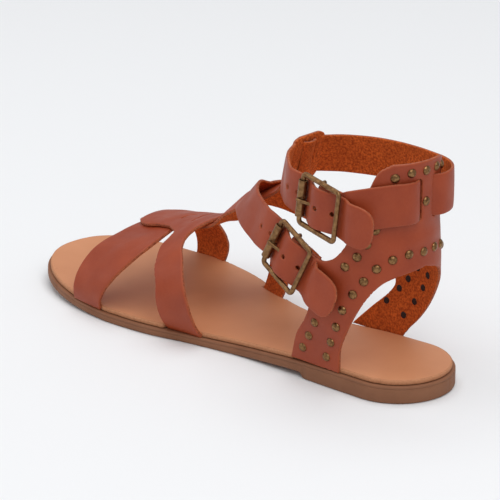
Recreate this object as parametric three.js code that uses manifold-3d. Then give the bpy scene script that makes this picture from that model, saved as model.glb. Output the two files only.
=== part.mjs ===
// Gladiator sandal, left shoe: a flat moulded sole with a footbed, a studded heel cuff on two legs,
// a slit T-bar, a four-legged vamp and two buckled straps round the ankle and the instep.
// Millimetres. +X points to the toe, +Y to the outer side of the foot and +Z up.
// The origin is on the floor, under the middle of the heel seat.

import * as THREE from 'three';
import { mergeVertices } from 'three/addons/utils/BufferGeometryUtils.js';
import Module from 'manifold-3d';

const wasm = await Module();
wasm.setup();

// ---- driving dimensions ----

const GAP = 0.3; // air left between pieces that touch
const LEATHER = 1.8; // wall of the cuff, vamp and T-bar
const STRAP = 1.5; // thickness of the two buckled straps
const STRAP_WIDTH = 19.5;
const STRAP_ROOM = 0.4; // air round a strap where it passes through a slit
const T_BAR_WIDTH = 22;

const HEEL_RADIUS = 27;
const TOE_START = 160; // where the sides of the sole begin to turn into the round toe
const TOE_LENGTH = 63;
const TOE_END = TOE_START + TOE_LENGTH;
const TOE_POWER = { lateral: 2.1, medial: 2.5 }; // the inner side of the toe is fuller
const HEEL_BREAST = 33; // front face of the heel
const HEEL_TOP = 8.6; // outsole at the heel seat
const FOREPART_TOP = 4.4; // outsole under the ball
const WAIST_LIFT = 2.5; // underside of the waist, just ahead of the heel
const WAIST_END = 85; // where the forepart meets the floor
const SPRING_START = 140;
const TOE_SPRING = 6;
const SEAT_END = 15; // the seat is level up to here and slopes down to the ball
const BALL_START = 95;
const SOLE_STATIONS = 46;
const SOLE_CHAMFER = 1.2;
const FOOTBED = 2.2; // thickness of the footbed
const FOOTBED_INSET = 1.5;

// Half widths of the outsole on the outer and inner side.
const SOLE_ROWS = [
  { x: 0, lateral: 27.6, medial: 26.2 },
  { x: 25, lateral: 28.5, medial: 24.2 },
  { x: 50, lateral: 28.9, medial: 22.6 },
  { x: 75, lateral: 29.9, medial: 24.4 },
  { x: 100, lateral: 34.3, medial: 31.1 },
  { x: 125, lateral: 40.3, medial: 41.4 },
  { x: 150, lateral: 42.8, medial: 46.6 },
  { x: 160, lateral: 42.4, medial: 46.8 },
  { x: 180, lateral: 41.6, medial: 44.4 },
  { x: 223, lateral: 41, medial: 42 },
];

// Level sections of the heel and ankle that the cuff lies on, as half axes from the ankle axis.
// A higher power makes the sides flatter.
const ANKLE_AXIS = 25;
const ANKLE_ROWS = [
  { z: 4, back: 39, front: 60, lateral: 26.9, medial: 24, power: 3.4 },
  { z: 12, back: 39, front: 60, lateral: 27.4, medial: 24.4, power: 3.4 },
  { z: 26, back: 39, front: 66, lateral: 29.2, medial: 26.6, power: 3 },
  { z: 42, back: 39, front: 72, lateral: 30.4, medial: 29, power: 2.5 },
  { z: 60, back: 39.2, front: 70, lateral: 30.8, medial: 30.6, power: 2.2 },
  { z: 84, back: 39.3, front: 50, lateral: 31, medial: 31, power: 2 },
  { z: 118, back: 39.3, front: 43, lateral: 31, medial: 31, power: 2 },
];

// Upright sections of the forefoot that the vamp lies on.
const FOREFOOT_ROWS = [
  { x: 84, lateral: 39, medial: 34, middle: 26.2, crest: 60.6 },
  { x: 105, lateral: 40, medial: 36, middle: 23.2, crest: 54.8 },
  { x: 125, lateral: 42, medial: 41, middle: 19.2, crest: 47.4 },
  { x: 150, lateral: 43, medial: 46, middle: 14, crest: 41.2 },
  { x: 168, lateral: 41.5, medial: 46.5, middle: 11, crest: 37.6 },
  { x: 184, lateral: 39, medial: 44, middle: 10, crest: 34.6 },
];
const RIDGE = -6; // the ridge of the foot lies to the inner side

const BUCKLE = {
  length: 26.6, // along the strap
  width: 26.5, // across the strap
  wire: 2.5,
  corner: 3,
  bar: 0.9, // radius of the centre bar
  frameLift: 2.3, // the frame stands above its bar
  tilt: 1.5, // the front side lies this much lower than the middle, the rear side higher
  roller: 2.15, // outer radius of the roller sleeves
  rollerBore: 1.75,
  rollerLength: 8.8,
  prong: 0.85, // radius of the prong
  eye: 1.9, // outer radius of the prong's eye
  eyeBore: 1.2,
  eyeWidth: 2.6,
};

// ---- small helpers ----

const vector = (x, y, z) => new THREE.Vector3(x, y, z);

function smooth(t) {
  const u = THREE.MathUtils.clamp(t, 0, 1);
  return u * u * (3 - 2 * u);
}

/** Reads one column of a table of rows at a position between them, on a smooth curve. */
function column(rows, key, name, at) {
  const last = rows.length - 1;
  const clamped = THREE.MathUtils.clamp(at, rows[0][key], rows[last][key]);
  let i = rows.findIndex((row, k) => k < last && clamped <= rows[k + 1][key]);
  i = Math.max(0, i);
  const span = (k) => rows[k + 1][key] - rows[k][key];
  const slope = (k) => {
    if (k === 0) return (rows[1][name] - rows[0][name]) / span(0);
    if (k === last) return (rows[last][name] - rows[last - 1][name]) / span(last - 1);
    return (rows[k + 1][name] - rows[k - 1][name]) / (rows[k + 1][key] - rows[k - 1][key]);
  };
  const h = span(i);
  const t = (clamped - rows[i][key]) / h;
  const a = rows[i][name];
  const b = rows[i + 1][name];
  const t2 = t * t;
  const t3 = t2 * t;
  const ends = (2 * t3 - 3 * t2 + 1) * a + (3 * t2 - 2 * t3) * b;
  return ends + h * ((t3 - 2 * t2 + t) * slope(i) + (t3 - t2) * slope(i + 1));
}

/** Turns a closed three.js geometry into a solid that can be cut and joined. */
function solid(geometry) {
  const bare = geometry.clone();
  for (const name of Object.keys(bare.attributes)) {
    if (name !== 'position') bare.deleteAttribute(name);
  }
  const merged = mergeVertices(bare, 1e-4);
  const vertProperties = new Float32Array(merged.attributes.position.array);
  const triVerts = new Uint32Array(merged.index.array);
  return new wasm.Manifold(new wasm.Mesh({ numProp: 3, vertProperties, triVerts }));
}

/** Joins rings of points into one closed body, wound outwards. Each ring has the same number of points. */
function loft(rings) {
  const count = rings[0].length;
  const centre = (ring) => ring.reduce((sum, p) => sum.add(p), vector(0, 0, 0)).divideScalar(count);
  const points = [...rings.flat(), centre(rings[0]), centre(rings[rings.length - 1])];
  const index = [];
  for (let i = 0; i < rings.length - 1; i += 1) {
    for (let k = 0; k < count; k += 1) {
      const a = i * count + k;
      const b = i * count + ((k + 1) % count);
      index.push(a, b, a + count, b, b + count, a + count);
    }
  }
  const start = rings.length * count;
  const tail = (rings.length - 1) * count;
  for (let k = 0; k < count; k += 1) {
    const next = (k + 1) % count;
    index.push(start, next, k);
    index.push(start + 1, tail + k, tail + next);
  }
  const geometry = new THREE.BufferGeometry().setFromPoints(points);
  geometry.setIndex(index);
  const body = solid(geometry);
  return body.volume() > 0 ? body : loft([...rings].reverse());
}

/** A plate with an outline drawn from the side, in X and Z, reaching from one Y to another. */
function sidePlate(shape, from, to) {
  const geometry = new THREE.ExtrudeGeometry(shape, { depth: to - from, bevelEnabled: false, curveSegments: 5 });
  geometry.rotateX(Math.PI / 2);
  geometry.translate(0, to, 0);
  return solid(geometry);
}

/** An outline of smooth runs with a corner where one run ends and the next begins. */
function outline(start, runs) {
  const shape = new THREE.Shape();
  shape.moveTo(...start);
  for (const run of runs) {
    if (run.length === 1) shape.lineTo(...run[0]);
    else shape.splineThru(run.map(([x, z]) => new THREE.Vector2(x, z)));
  }
  return shape;
}

// ---- sole ----

/** Share of the sole's width left at one place of the round heel or toe. */
function heelAndToe(side, x) {
  if (x < 0) return Math.sqrt(Math.max(0, 1 - (x / HEEL_RADIUS) ** 2));
  const along = THREE.MathUtils.clamp((x - TOE_START) / TOE_LENGTH, 0, 1);
  return (1 - along ** TOE_POWER[side]) ** (1 / TOE_POWER[side]);
}

const soleSide = (side, x) => column(SOLE_ROWS, 'x', side, x) * heelAndToe(side, x);

function soleSpring(x) {
  const t = Math.max(0, (x - SPRING_START) / (TOE_END - SPRING_START));
  return TOE_SPRING * t * t;
}

function soleTop(x) {
  const slope = smooth((x - SEAT_END) / (BALL_START - SEAT_END));
  return HEEL_TOP + (FOREPART_TOP - HEEL_TOP) * slope + soleSpring(x);
}

function soleBottom(x) {
  if (x <= HEEL_BREAST) return 0;
  return WAIST_LIFT * (1 - smooth((x - HEEL_BREAST) / (WAIST_END - HEEL_BREAST))) + soleSpring(x);
}

/** Places along the sole, closer together at the round ends, with the heel breast between two. */
function soleStations(inset) {
  const from = -HEEL_RADIUS + inset;
  const to = TOE_END - inset;
  const stations = [];
  for (let i = 0; i <= SOLE_STATIONS; i += 1) {
    const turn = (Math.PI * (i + 0.35)) / (SOLE_STATIONS + 0.7);
    const even = i / SOLE_STATIONS;
    const round = (1 - Math.cos(turn)) / 2;
    stations.push(from + (to - from) * (0.75 * round + 0.25 * even));
  }
  const near = (x) => Math.abs(x - HEEL_BREAST) < 1;
  return [...stations.filter((x) => !near(x)), HEEL_BREAST, HEEL_BREAST + 0.1].sort((a, b) => a - b);
}

/** The sole's section at one place, inset from its edge, between two heights. */
function soleSection(x, inset, low, high, chamfer) {
  const reach = (side) => Math.max(1.2, soleSide(side, x) - inset);
  const lateral = reach('lateral');
  const medial = -reach('medial');
  const cut = Math.min(chamfer, 0.6);
  return [
    vector(x, medial + chamfer, low),
    vector(x, lateral - chamfer, low),
    vector(x, lateral, low + cut + chamfer * 0.5),
    vector(x, lateral, high - 0.2),
    vector(x, lateral - 0.2, high),
    vector(x, medial + 0.2, high),
    vector(x, medial, high - 0.2),
    vector(x, medial, low + cut + chamfer * 0.5),
  ];
}

function makeOutsole() {
  const chamfer = (x) => SOLE_CHAMFER * heelAndToe('medial', x);
  return loft(soleStations(0).map((x) => soleSection(x, 0, soleBottom(x), soleTop(x), chamfer(x))));
}

function makeFootbed() {
  const section = (x) => {
    const low = soleTop(x) + GAP;
    return soleSection(x, FOOTBED_INSET, low, low + FOOTBED, 0.3);
  };
  return loft(soleStations(FOOTBED_INSET).map(section));
}

// ---- cuff and vamp walls ----

const RING_POINTS = 44;

/** One level ring of the ankle, moved outwards by an offset. */
function ankleRing(z, offset) {
  const read = (name) => column(ANKLE_ROWS, 'z', name, z);
  const power = 2 / read('power');
  const ring = [];
  for (let k = 0; k < RING_POINTS; k += 1) {
    const angle = (2 * Math.PI * k) / RING_POINTS;
    const along = Math.cos(angle);
    const across = Math.sin(angle);
    const reachX = (along < 0 ? read('back') : read('front')) + offset;
    const reachY = (across < 0 ? read('medial') : read('lateral')) + offset;
    const x = ANKLE_AXIS + Math.sign(along) * reachX * Math.abs(along) ** power;
    const y = Math.sign(across) * reachY * Math.abs(across) ** power;
    ring.push(vector(x, y, z));
  }
  return ring;
}

/** A hollow wall between an outer and an inner loft; the inner one runs past both ends. */
function wall(ringAt, places, grow = 0) {
  const half = LEATHER / 2 + grow;
  const outer = loft(places.map((at) => ringAt(at, half)));
  const last = places.length - 1;
  const longer = places.map((at, i) => (i === 0 ? at - 1 : i === last ? at + 1 : at));
  return outer.subtract(loft(longer.map((at) => ringAt(at, -half))));
}

const FOREFOOT_POINTS = 40;

/** One upright ring of the forefoot, moved outwards by an offset. */
function forefootRing(x, offset) {
  const read = (name) => column(FOREFOOT_ROWS, 'x', name, x);
  const middle = read('middle');
  const halfWidth = (read('lateral') + read('medial')) / 2 + offset;
  const centre = (read('lateral') - read('medial')) / 2;
  const rise = read('crest') - middle + offset;
  const ring = [];
  for (let k = 0; k < FOREFOOT_POINTS; k += 1) {
    const angle = (2 * Math.PI * k) / FOREFOOT_POINTS;
    const up = Math.max(0, Math.sin(angle));
    const y = centre + halfWidth * Math.cos(angle) + RIDGE * up * up;
    ring.push(vector(x, y, middle + rise * Math.sin(angle)));
  }
  return ring;
}

const LEG_FOOT = HEEL_TOP + GAP; // the legs stand on the outsole beside the footbed
const BACK = -22; // any place behind the cuff
const CUFF_TOP = 111;

// Rear edge of a leg, up to the lower edge of the cuff at the back.
const LATERAL_REAR = [[10.4, 20.2], [6, 31.2], [2.2, 39.9], [-1.8, 47.7], [-7, 55.4], [-14, 60.3], [BACK, 61]];
const MEDIAL_REAR = [[14.2, 15.2], [9.4, 20.8], [4, 28.4], [-1.2, 37.6], [-6, 46], [-10.2, 53.4], [-14, 59.6], [BACK, 61]];

// Top edge of the cuff and its front edge, down to the notch above the arm.
const LATERAL_FRONT = [[-8.6, 111], [-4.4, 107.6], [-1.2, 100], [2, 90], [5, 80], [8, 72], [13, 65.4]];
const MEDIAL_FRONT = [[-14.8, 110.8], [-12, 110], [-8.4, 107.8], [-4, 103.6], [-0.6, 97.6], [2.4, 89], [5.4, 80], [8.6, 72], [13, 65.4]];

/** The cuff seen from its outer side: leg, back, top edge, notch and the arm of the buckle. */
function lateralCuffOutline() {
  return outline([11.9, LEG_FOOT], [
    LATERAL_REAR,
    [[BACK, CUFF_TOP]],
    [...LATERAL_FRONT, [19, 62.5], [23.8, 63.3]],
    [[31.9, 44.2]],
    [[28.8, 42], [27.7, 38.4], [31, 31], [37, 21.6], [41.2, LEG_FOOT]],
  ]);
}

/** The cuff seen from its inner side, where the arm ends in a seam. */
function medialCuffOutline() {
  return outline([18.7, LEG_FOOT], [
    MEDIAL_REAR,
    [[BACK, CUFF_TOP]],
    [...MEDIAL_FRONT, [19, 62], [26, 60.2], [35.4, 60.6]],
    [[44.2, 41.6]],
    [[36, 40], [28, 38], [25.6, 34.4], [29, 28.4], [37.6, 20], [48.4, LEG_FOOT]],
  ]);
}

const CUFF_LEVELS = [LEG_FOOT - 2, 12, 19, 26, 34, 42, 50, 60, 72, 84, 98, CUFF_TOP + 3];

function makeCuffWall() {
  const shell = wall(ankleRing, CUFF_LEVELS);
  const lateral = sidePlate(lateralCuffOutline(), 0, 60);
  const medial = sidePlate(medialCuffOutline(), -60, 0);
  return shell.intersect(lateral.add(medial));
}

const FRONT_LEG_END = 175.4;

/** The vamp seen from the side: a rear leg and a front leg under one broad crossing. */
function vampOutline() {
  const foot = FOREPART_TOP + GAP;
  const frontFoot = foot + soleSpring(FRONT_LEG_END);
  return outline([96, foot], [
    [[97.2, 14], [98.6, 24], [102, 33], [108, 40.4], [115, 45], [119, 48.4], [119, 52]],
    [[176, 52]],
    [[176.5, 40], [174.6, 30], [175.4, 18], [FRONT_LEG_END, frontFoot]],
    [[156.2, frontFoot]],
    [[155.6, 17], [152.4, 28], [147, 36.6], [139, 42], [131, 42], [125, 37], [120.4, 28], [117, 16], [114.6, foot]],
  ]);
}

const VAMP_STATIONS = [90, 97, 104, 111, 118, 125, 133, 141, 150, 159, 168, 180];

function makeVampWall() {
  return wall(forefootRing, VAMP_STATIONS).intersect(sidePlate(vampOutline(), -70, 70));
}

// Feet of the legs along the sole, where they pass down beside the footbed.
const CUFF_FEET = [
  { from: 11.4, to: 41.6, side: 1 },
  { from: 16.4, to: 49.4, side: -1 },
];
const VAMP_FEET = [
  { from: 95.5, to: 117, side: 1 },
  { from: 95.5, to: 117, side: -1 },
  { from: 154.8, to: FRONT_LEG_END + 0.5, side: 1 },
  { from: 154.8, to: FRONT_LEG_END + 0.5, side: -1 },
];
const FOOT_REACH = 30; // the notches are cut out of the walls up to this height

/** Room for the feet of a wall, as notches to cut out of the footbed's edge. */
function notches(shell, feet) {
  const boxes = feet.map(({ from, to, side }) => {
    const box = new THREE.BoxGeometry(to - from, 60, FOOT_REACH);
    box.translate((from + to) / 2, side * 31, FOOT_REACH / 2);
    return solid(box);
  });
  return shell.intersect(boxes.reduce((all, box) => all.add(box)));
}

// ---- straps ----

/**
 * A flat strip along a smooth line; each row holds a point and the direction across the strip.
 * The tip lists the share of the width left at the last steps, from the very end backwards.
 */
function band(rows, width, thickness, steps, grow = 0, tip = []) {
  const line = new THREE.CatmullRomCurve3(rows.map((row) => row.point), false, 'centripetal');
  const w = width / 2 + grow;
  const h = thickness / 2 + grow;
  const rings = [];
  for (let i = 0; i <= steps; i += 1) {
    const t = i / steps;
    const place = t * (rows.length - 1);
    const k = Math.min(Math.floor(place), rows.length - 2);
    const across = rows[k].across.clone().lerp(rows[k + 1].across, place - k);
    const tangent = line.getTangent(t);
    across.addScaledVector(tangent, -across.dot(tangent)).normalize();
    const out = vector(0, 0, 0).crossVectors(across, tangent);
    const point = line.getPoint(t);
    if (i === 0) point.addScaledVector(tangent, -grow);
    if (i === steps) point.addScaledVector(tangent, grow);
    const corner = (a, b) => point.clone().addScaledVector(across, a).addScaledVector(out, b);
    const side = w * (tip[steps - i] ?? 1);
    rings.push([corner(-side, -h), corner(side, -h), corner(side, h), corner(-side, h)]);
  }
  return loft(rings);
}

/** Rows of a strap round the ankle: its width stands upright, tipped inwards at the top by a lean. */
function ankleRows(table) {
  return table.map(({ x, y, z, lean }) => {
    const inwards = vector(ANKLE_AXIS - x, -y, 0).normalize();
    const tip = THREE.MathUtils.degToRad(lean);
    const across = vector(0, 0, Math.cos(tip)).addScaledVector(inwards, Math.sin(tip));
    return { point: vector(x, y, z), across };
  });
}

/** The frame of a buckle: its bar's middle, and the ways along to the tail, across and out. */
function buckleFrame(centre, tail, up) {
  const along = tail.clone().normalize();
  const across = up.clone().addScaledVector(along, -up.dot(along)).normalize();
  const out = vector(0, 0, 0).crossVectors(along, across);
  return new THREE.Matrix4().makeBasis(along, across, out).setPosition(centre);
}

/** Rows of a strap where it passes a buckle, given as distance to the tail and height over the bar. */
function rowsAtBuckle(frame, table) {
  const across = vector(0, 1, 0).transformDirection(frame);
  return table.map(({ s, h }) => ({ point: vector(s, 0, h).applyMatrix4(frame), across }));
}

const FOLD_AIR = 0.45; // the fold is loose round its bar
const OVER_BAR = BUCKLE.bar + FOLD_AIR + STRAP / 2;

// The folded end: from its inner end, round the bar and back along the outside.
const FOLD_TABLE = [
  { s: 14, h: -2.4 },
  { s: 9, h: -2.4 },
  { s: 4, h: -2.25 },
  { s: 0.6, h: -OVER_BAR },
  { s: -1.5, h: -1.5 },
  { s: -OVER_BAR, h: 0 },
  { s: -1.5, h: 1.5 },
  { s: 0.6, h: OVER_BAR },
  { s: 4, h: 0.95 },
  { s: 8, h: -0.4 },
  { s: 12, h: -0.6 },
];

// The holed end: under the roller, up over the bar, under the rear side and out as the tail.
const THREAD_TABLE = [
  { s: -17, h: -2.3 },
  { s: -13.4, h: -2.5 },
  { s: -10.2, h: -1.9 },
  { s: -6, h: 1.4 },
  { s: -2.4, h: 3.6 },
  { s: 1, h: 4 },
  { s: 5.4, h: 2.95 },
  { s: 9.6, h: 1.6 },
  { s: 13.4, h: 1.4 },
];

const UPPER_BUCKLE = buckleFrame(vector(21, 29.8, 87.8), vector(-1, 0, -0.137), vector(-0.12, 0, 1));
const LOWER_BUCKLE = buckleFrame(vector(40.4, 29.6, 59), vector(-0.92, 0.08, -0.39), vector(-0.45, -0.12, 0.88));

// From the fold of the upper buckle, back along the outside of the cuff, in and out through its two
// slots at the back, forward on the inner side and through the two slits of the T-bar.
const UPPER_ROUTE = [
  { x: 3, y: 29.4, z: 89.4, lean: 0 },
  { x: -4, y: 24.6, z: 91.4, lean: 0 },
  { x: -10.4, y: 18, z: 92.6, lean: 0 },
  { x: -15.2, y: 10.4, z: 93, lean: 0 },
  { x: -15.1, y: 6.2, z: 93, lean: 0 },
  { x: -12.6, y: 2.6, z: 93, lean: 0 },
  { x: -12.4, y: -1, z: 93, lean: 0 },
  { x: -13.4, y: -5, z: 93, lean: 0 },
  { x: -15.8, y: -8.8, z: 93, lean: 0 },
  { x: -16, y: -13, z: 93, lean: 0 },
  { x: -12.4, y: -21, z: 93, lean: 0 },
  { x: -4, y: -28, z: 92.6, lean: 0 },
  { x: 10, y: -32.6, z: 92, lean: 0 },
  { x: 27, y: -33.8, z: 91.8, lean: 2 },
  { x: 42, y: -32, z: 91.8, lean: 5 },
  { x: 55, y: -27, z: 91.6, lean: 9 },
  { x: 62.6, y: -22, z: 91.4, lean: 13 },
  { x: 66.6, y: -18.4, z: 91.3, lean: 15 },
  { x: 67.9, y: -15.6, z: 91.3, lean: 16 },
  { x: 67, y: -13.2, z: 91.2, lean: 16 },
  { x: 65.3, y: -11.2, z: 91.2, lean: 16 },
  { x: 64.7, y: -9, z: 91.2, lean: 16 },
  { x: 65.3, y: -6.8, z: 91.2, lean: 16 },
  { x: 67, y: -4.8, z: 91.2, lean: 16 },
  { x: 67.9, y: -2.4, z: 91.3, lean: 16 },
  { x: 66.8, y: 0.8, z: 91.5, lean: 15 },
  { x: 64, y: 5.4, z: 91.8, lean: 13 },
  { x: 58.8, y: 13.6, z: 91.6, lean: 10 },
  { x: 50.6, y: 21.6, z: 91, lean: 6 },
  { x: 43.6, y: 26, z: 90.4, lean: 2 },
];

const UPPER_TAIL = [
  { x: 2.4, y: 33, z: 85, lean: 0 },
  { x: -4, y: 32.4, z: 84, lean: 0 },
  { x: -10.2, y: 30.6, z: 83.2, lean: 0 },
];

// From the seam on the inner arm, over the instep and the T-bar to the lower buckle.
const LOWER_ROUTE = [
  { x: 31, y: -26.9, z: 47, lean: -7 },
  { x: 42, y: -27, z: 51, lean: -3 },
  { x: 54, y: -27.6, z: 54.8, lean: 8 },
  { x: 68, y: -26.8, z: 59, lean: 18 },
  { x: 81, y: -23.6, z: 62.6, lean: 26 },
  { x: 90, y: -19, z: 65, lean: 34 },
  { x: 94, y: -14.6, z: 66.2, lean: 40 },
  { x: 96, y: -9, z: 67.2, lean: 46 },
  { x: 95.4, y: -3, z: 68.4, lean: 46 },
  { x: 91.6, y: 3.6, z: 69.2, lean: 41 },
  { x: 84, y: 11.4, z: 68.4, lean: 32 },
  { x: 73, y: 18.4, z: 67, lean: 24 },
  { x: 62, y: 24, z: 66, lean: 18 },
];

const LOWER_TAIL = [
  { x: 23, y: 34.6, z: 51, lean: 6 },
  { x: 15.4, y: 35.5, z: 48, lean: 5 },
  { x: 8, y: 35.7, z: 45.2, lean: 4 },
];

// The line of the T-bar up the ridge of the foot, from the vamp to its tab above the ankle.
// It is rolled a little to the outer side lower down.
const T_BAR_LINE = [
  { x: 142, y: -8, z: 43.6, roll: 4 },
  { x: 131, y: -8, z: 46.4, roll: 12 },
  { x: 121, y: -8, z: 51, roll: 18 },
  { x: 109, y: -8, z: 58.4, roll: 20 },
  { x: 96, y: -8.2, z: 66, roll: 18 },
  { x: 84, y: -8.6, z: 71.4, roll: 12 },
  { x: 75.6, y: -9, z: 75.6, roll: 6 },
  { x: 70.6, y: -9, z: 81, roll: 0 },
  { x: 67.9, y: -9, z: 86.4, roll: 0 },
  { x: 66, y: -9, z: 93, roll: 0 },
  { x: 64.8, y: -9, z: 99, roll: 0 },
  { x: 64.2, y: -9, z: 103.4, roll: 0 },
];

const upperRows = [
  ...rowsAtBuckle(UPPER_BUCKLE, FOLD_TABLE),
  ...ankleRows(UPPER_ROUTE),
  ...rowsAtBuckle(UPPER_BUCKLE, THREAD_TABLE),
  ...ankleRows(UPPER_TAIL),
];
const lowerRows = [
  ...ankleRows(LOWER_ROUTE),
  ...rowsAtBuckle(LOWER_BUCKLE, THREAD_TABLE),
  ...ankleRows(LOWER_TAIL),
];
const foldRows = rowsAtBuckle(LOWER_BUCKLE, [...FOLD_TABLE, { s: 17.5, h: -0.2 }]);

// Shares of the width left at the very end, and at the steps before it.
const ROUND_TIP = [0.45, 0.78, 0.93];
const TAB_TIP = [0.84];
const upperStrap = (grow) => band(upperRows, STRAP_WIDTH, STRAP, 171, grow, ROUND_TIP);
const lowerStrap = (grow) => band(lowerRows, STRAP_WIDTH, STRAP, 87, grow, ROUND_TIP);

function tBar() {
  const rows = T_BAR_LINE.map(({ x, y, z, roll }) => {
    const turn = THREE.MathUtils.degToRad(roll);
    return { point: vector(x, y, z), across: vector(0, Math.cos(turn), -Math.sin(turn)) };
  });
  return band(rows, T_BAR_WIDTH, LEATHER, 42, 0, TAB_TIP);
}

// ---- buckle ----

/** A rounded rectangle about the origin, for the outside or the inside of the buckle's frame. */
function roundedRectangle(shape, length, width, corner) {
  const x = length / 2;
  const y = width / 2;
  shape.moveTo(-x + corner, -y);
  shape.lineTo(x - corner, -y);
  shape.absarc(x - corner, -y + corner, corner, -Math.PI / 2, 0, false);
  shape.lineTo(x, y - corner);
  shape.absarc(x - corner, y - corner, corner, 0, Math.PI / 2, false);
  shape.lineTo(-x + corner, y);
  shape.absarc(-x + corner, y - corner, corner, Math.PI / 2, Math.PI, false);
  shape.lineTo(-x, -y + corner);
  shape.absarc(-x + corner, -y + corner, corner, Math.PI, Math.PI * 1.5, false);
  return shape;
}

/** The turn that lays the frame over its bar, with the front side lower than the rear side. */
function frameTilt() {
  const angle = Math.atan2(2 * BUCKLE.tilt, BUCKLE.length - BUCKLE.wire);
  return new THREE.Matrix4().makeRotationY(-angle).setPosition(0, 0, BUCKLE.frameLift);
}

/** A cylinder lying across the strap. */
function acrossCylinder(radius, length, sides) {
  return new THREE.CylinderGeometry(radius, radius, length, sides);
}

function makeBuckleFrame() {
  const bevel = BUCKLE.wire * 0.3;
  const thick = BUCKLE.wire - 2 * bevel;
  const shape = roundedRectangle(
    new THREE.Shape(),
    BUCKLE.length - 2 * bevel,
    BUCKLE.width - 2 * bevel,
    BUCKLE.corner - bevel,
  );
  const hole = roundedRectangle(
    new THREE.Path(),
    BUCKLE.length - 2 * (BUCKLE.wire - bevel),
    BUCKLE.width - 2 * (BUCKLE.wire - bevel),
    BUCKLE.corner - BUCKLE.wire + bevel,
  );
  shape.holes.push(hole);
  const frame = new THREE.ExtrudeGeometry(shape, {
    depth: thick,
    bevelThickness: bevel,
    bevelSize: bevel,
    bevelSegments: 2,
    curveSegments: 4,
  });
  frame.translate(0, 0, -thick / 2);
  frame.applyMatrix4(frameTilt());
  const reach = BUCKLE.width - BUCKLE.wire;
  let buckle = solid(frame).add(solid(acrossCylinder(BUCKLE.bar, reach, 10)));
  for (const side of [-1, 1]) {
    const post = new THREE.CylinderGeometry(BUCKLE.bar, BUCKLE.bar, BUCKLE.frameLift + 0.4, 10);
    post.rotateX(Math.PI / 2);
    post.translate(0, (side * reach) / 2, BUCKLE.frameLift / 2);
    buckle = buckle.add(solid(post));
  }
  return buckle;
}

/** Middle of the frame's front side, where the rollers turn and the prong rests. */
function frontSide() {
  return vector(-(BUCKLE.length - BUCKLE.wire) / 2, 0, 0).applyMatrix4(frameTilt());
}

function makeRoller(side) {
  const { roller, rollerBore, rollerLength } = BUCKLE;
  const profile = [
    [rollerBore, 0],
    [roller, 0],
    [roller, rollerLength],
    [rollerBore, rollerLength],
    [rollerBore, 0],
  ];
  const sleeve = new THREE.LatheGeometry(profile.map(([r, y]) => new THREE.Vector2(r, y)), 16);
  const middle = frontSide();
  sleeve.translate(middle.x, side > 0 ? GAP / 2 : -GAP / 2 - rollerLength, middle.z);
  return solid(sleeve);
}

/** The prong: an eye on the bar and a tongue that rises to rest on the rollers. */
function makeProng(grow = 0) {
  const { eye, eyeBore, eyeWidth, prong } = BUCKLE;
  const bore = Math.max(BUCKLE.bar + 0.1, eyeBore - grow);
  const profile = [
    [bore, -eyeWidth / 2 - grow],
    [eye + grow, -eyeWidth / 2 - grow],
    [eye + grow, eyeWidth / 2 + grow],
    [bore, eyeWidth / 2 + grow],
    [bore, -eyeWidth / 2 - grow],
  ];
  const ring = new THREE.LatheGeometry(profile.map(([r, y]) => new THREE.Vector2(r, y)), 14);
  const rest = frontSide();
  const top = rest.z + BUCKLE.roller + GAP + prong;
  const path = new THREE.CatmullRomCurve3([
    vector(-1.2, 0, 1.1),
    vector(-3.6, 0, 2.6),
    vector(rest.x + 3, 0, top - 0.1),
    vector(rest.x - 1.4, 0, top - 0.1),
  ]);
  const section = new THREE.Shape().absarc(0, 0, prong + grow, 0, 2 * Math.PI, false);
  const tongue = new THREE.ExtrudeGeometry(section, {
    steps: 10,
    curveSegments: 5,
    extrudePath: path,
    bevelEnabled: false,
  });
  return solid(ring).add(solid(tongue));
}

// ---- assembly ----

const leatherFinish = { color: 0x96503a, roughness: 0.55, metalness: 0 };
const brassFinish = { color: 0x7a6446, roughness: 0.4, metalness: 0.9 };
const finishes = {
  outsole: { color: 0x7f563f, roughness: 0.7, metalness: 0 },
  footbed: { color: 0xc18056, roughness: 0.6, metalness: 0 },
  cuff: leatherFinish,
  vamp: leatherFinish,
  ankle_strap: leatherFinish,
  instep_strap: leatherFinish,
};

const group = new THREE.Group();

/** Adds one finished piece to the sandal. */
function addPiece(name, body, finish) {
  const { vertProperties, triVerts } = body.getMesh();
  const geometry = new THREE.BufferGeometry();
  geometry.setAttribute('position', new THREE.BufferAttribute(vertProperties, 3));
  geometry.setIndex(new THREE.BufferAttribute(triVerts, 1));
  const flat = geometry.toNonIndexed();
  flat.computeVertexNormals();
  const mesh = new THREE.Mesh(flat, new THREE.MeshStandardMaterial(finish));
  mesh.name = name;
  group.add(mesh);
}

const place = (body, frame) => body.transform(frame.elements);
const roomFor = (strap) => strap(STRAP_ROOM);

const upperProng = place(makeProng(GAP), UPPER_BUCKLE);
const lowerProng = place(makeProng(GAP), LOWER_BUCKLE);
const vamp = makeVampWall().add(tBar()).subtract(roomFor(upperStrap)).subtract(roomFor(lowerStrap));
const cuffArm = band(foldRows, STRAP_WIDTH, STRAP, 36);
const cuff = makeCuffWall()
  .add(cuffArm)
  .subtract(roomFor(upperStrap))
  .subtract(roomFor(lowerStrap))
  .subtract(lowerProng);
const footbed = makeFootbed()
  .subtract(notches(wall(ankleRing, CUFF_LEVELS, GAP), CUFF_FEET))
  .subtract(notches(wall(forefootRing, VAMP_STATIONS, GAP), VAMP_FEET));

addPiece('outsole', makeOutsole(), finishes.outsole);
addPiece('footbed', footbed, finishes.footbed);
addPiece('cuff', cuff, finishes.cuff);
addPiece('vamp', vamp, finishes.vamp);
addPiece('ankle_strap', upperStrap(0).subtract(upperProng), finishes.ankle_strap);
addPiece('instep_strap', lowerStrap(0).subtract(lowerProng), finishes.instep_strap);

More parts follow.
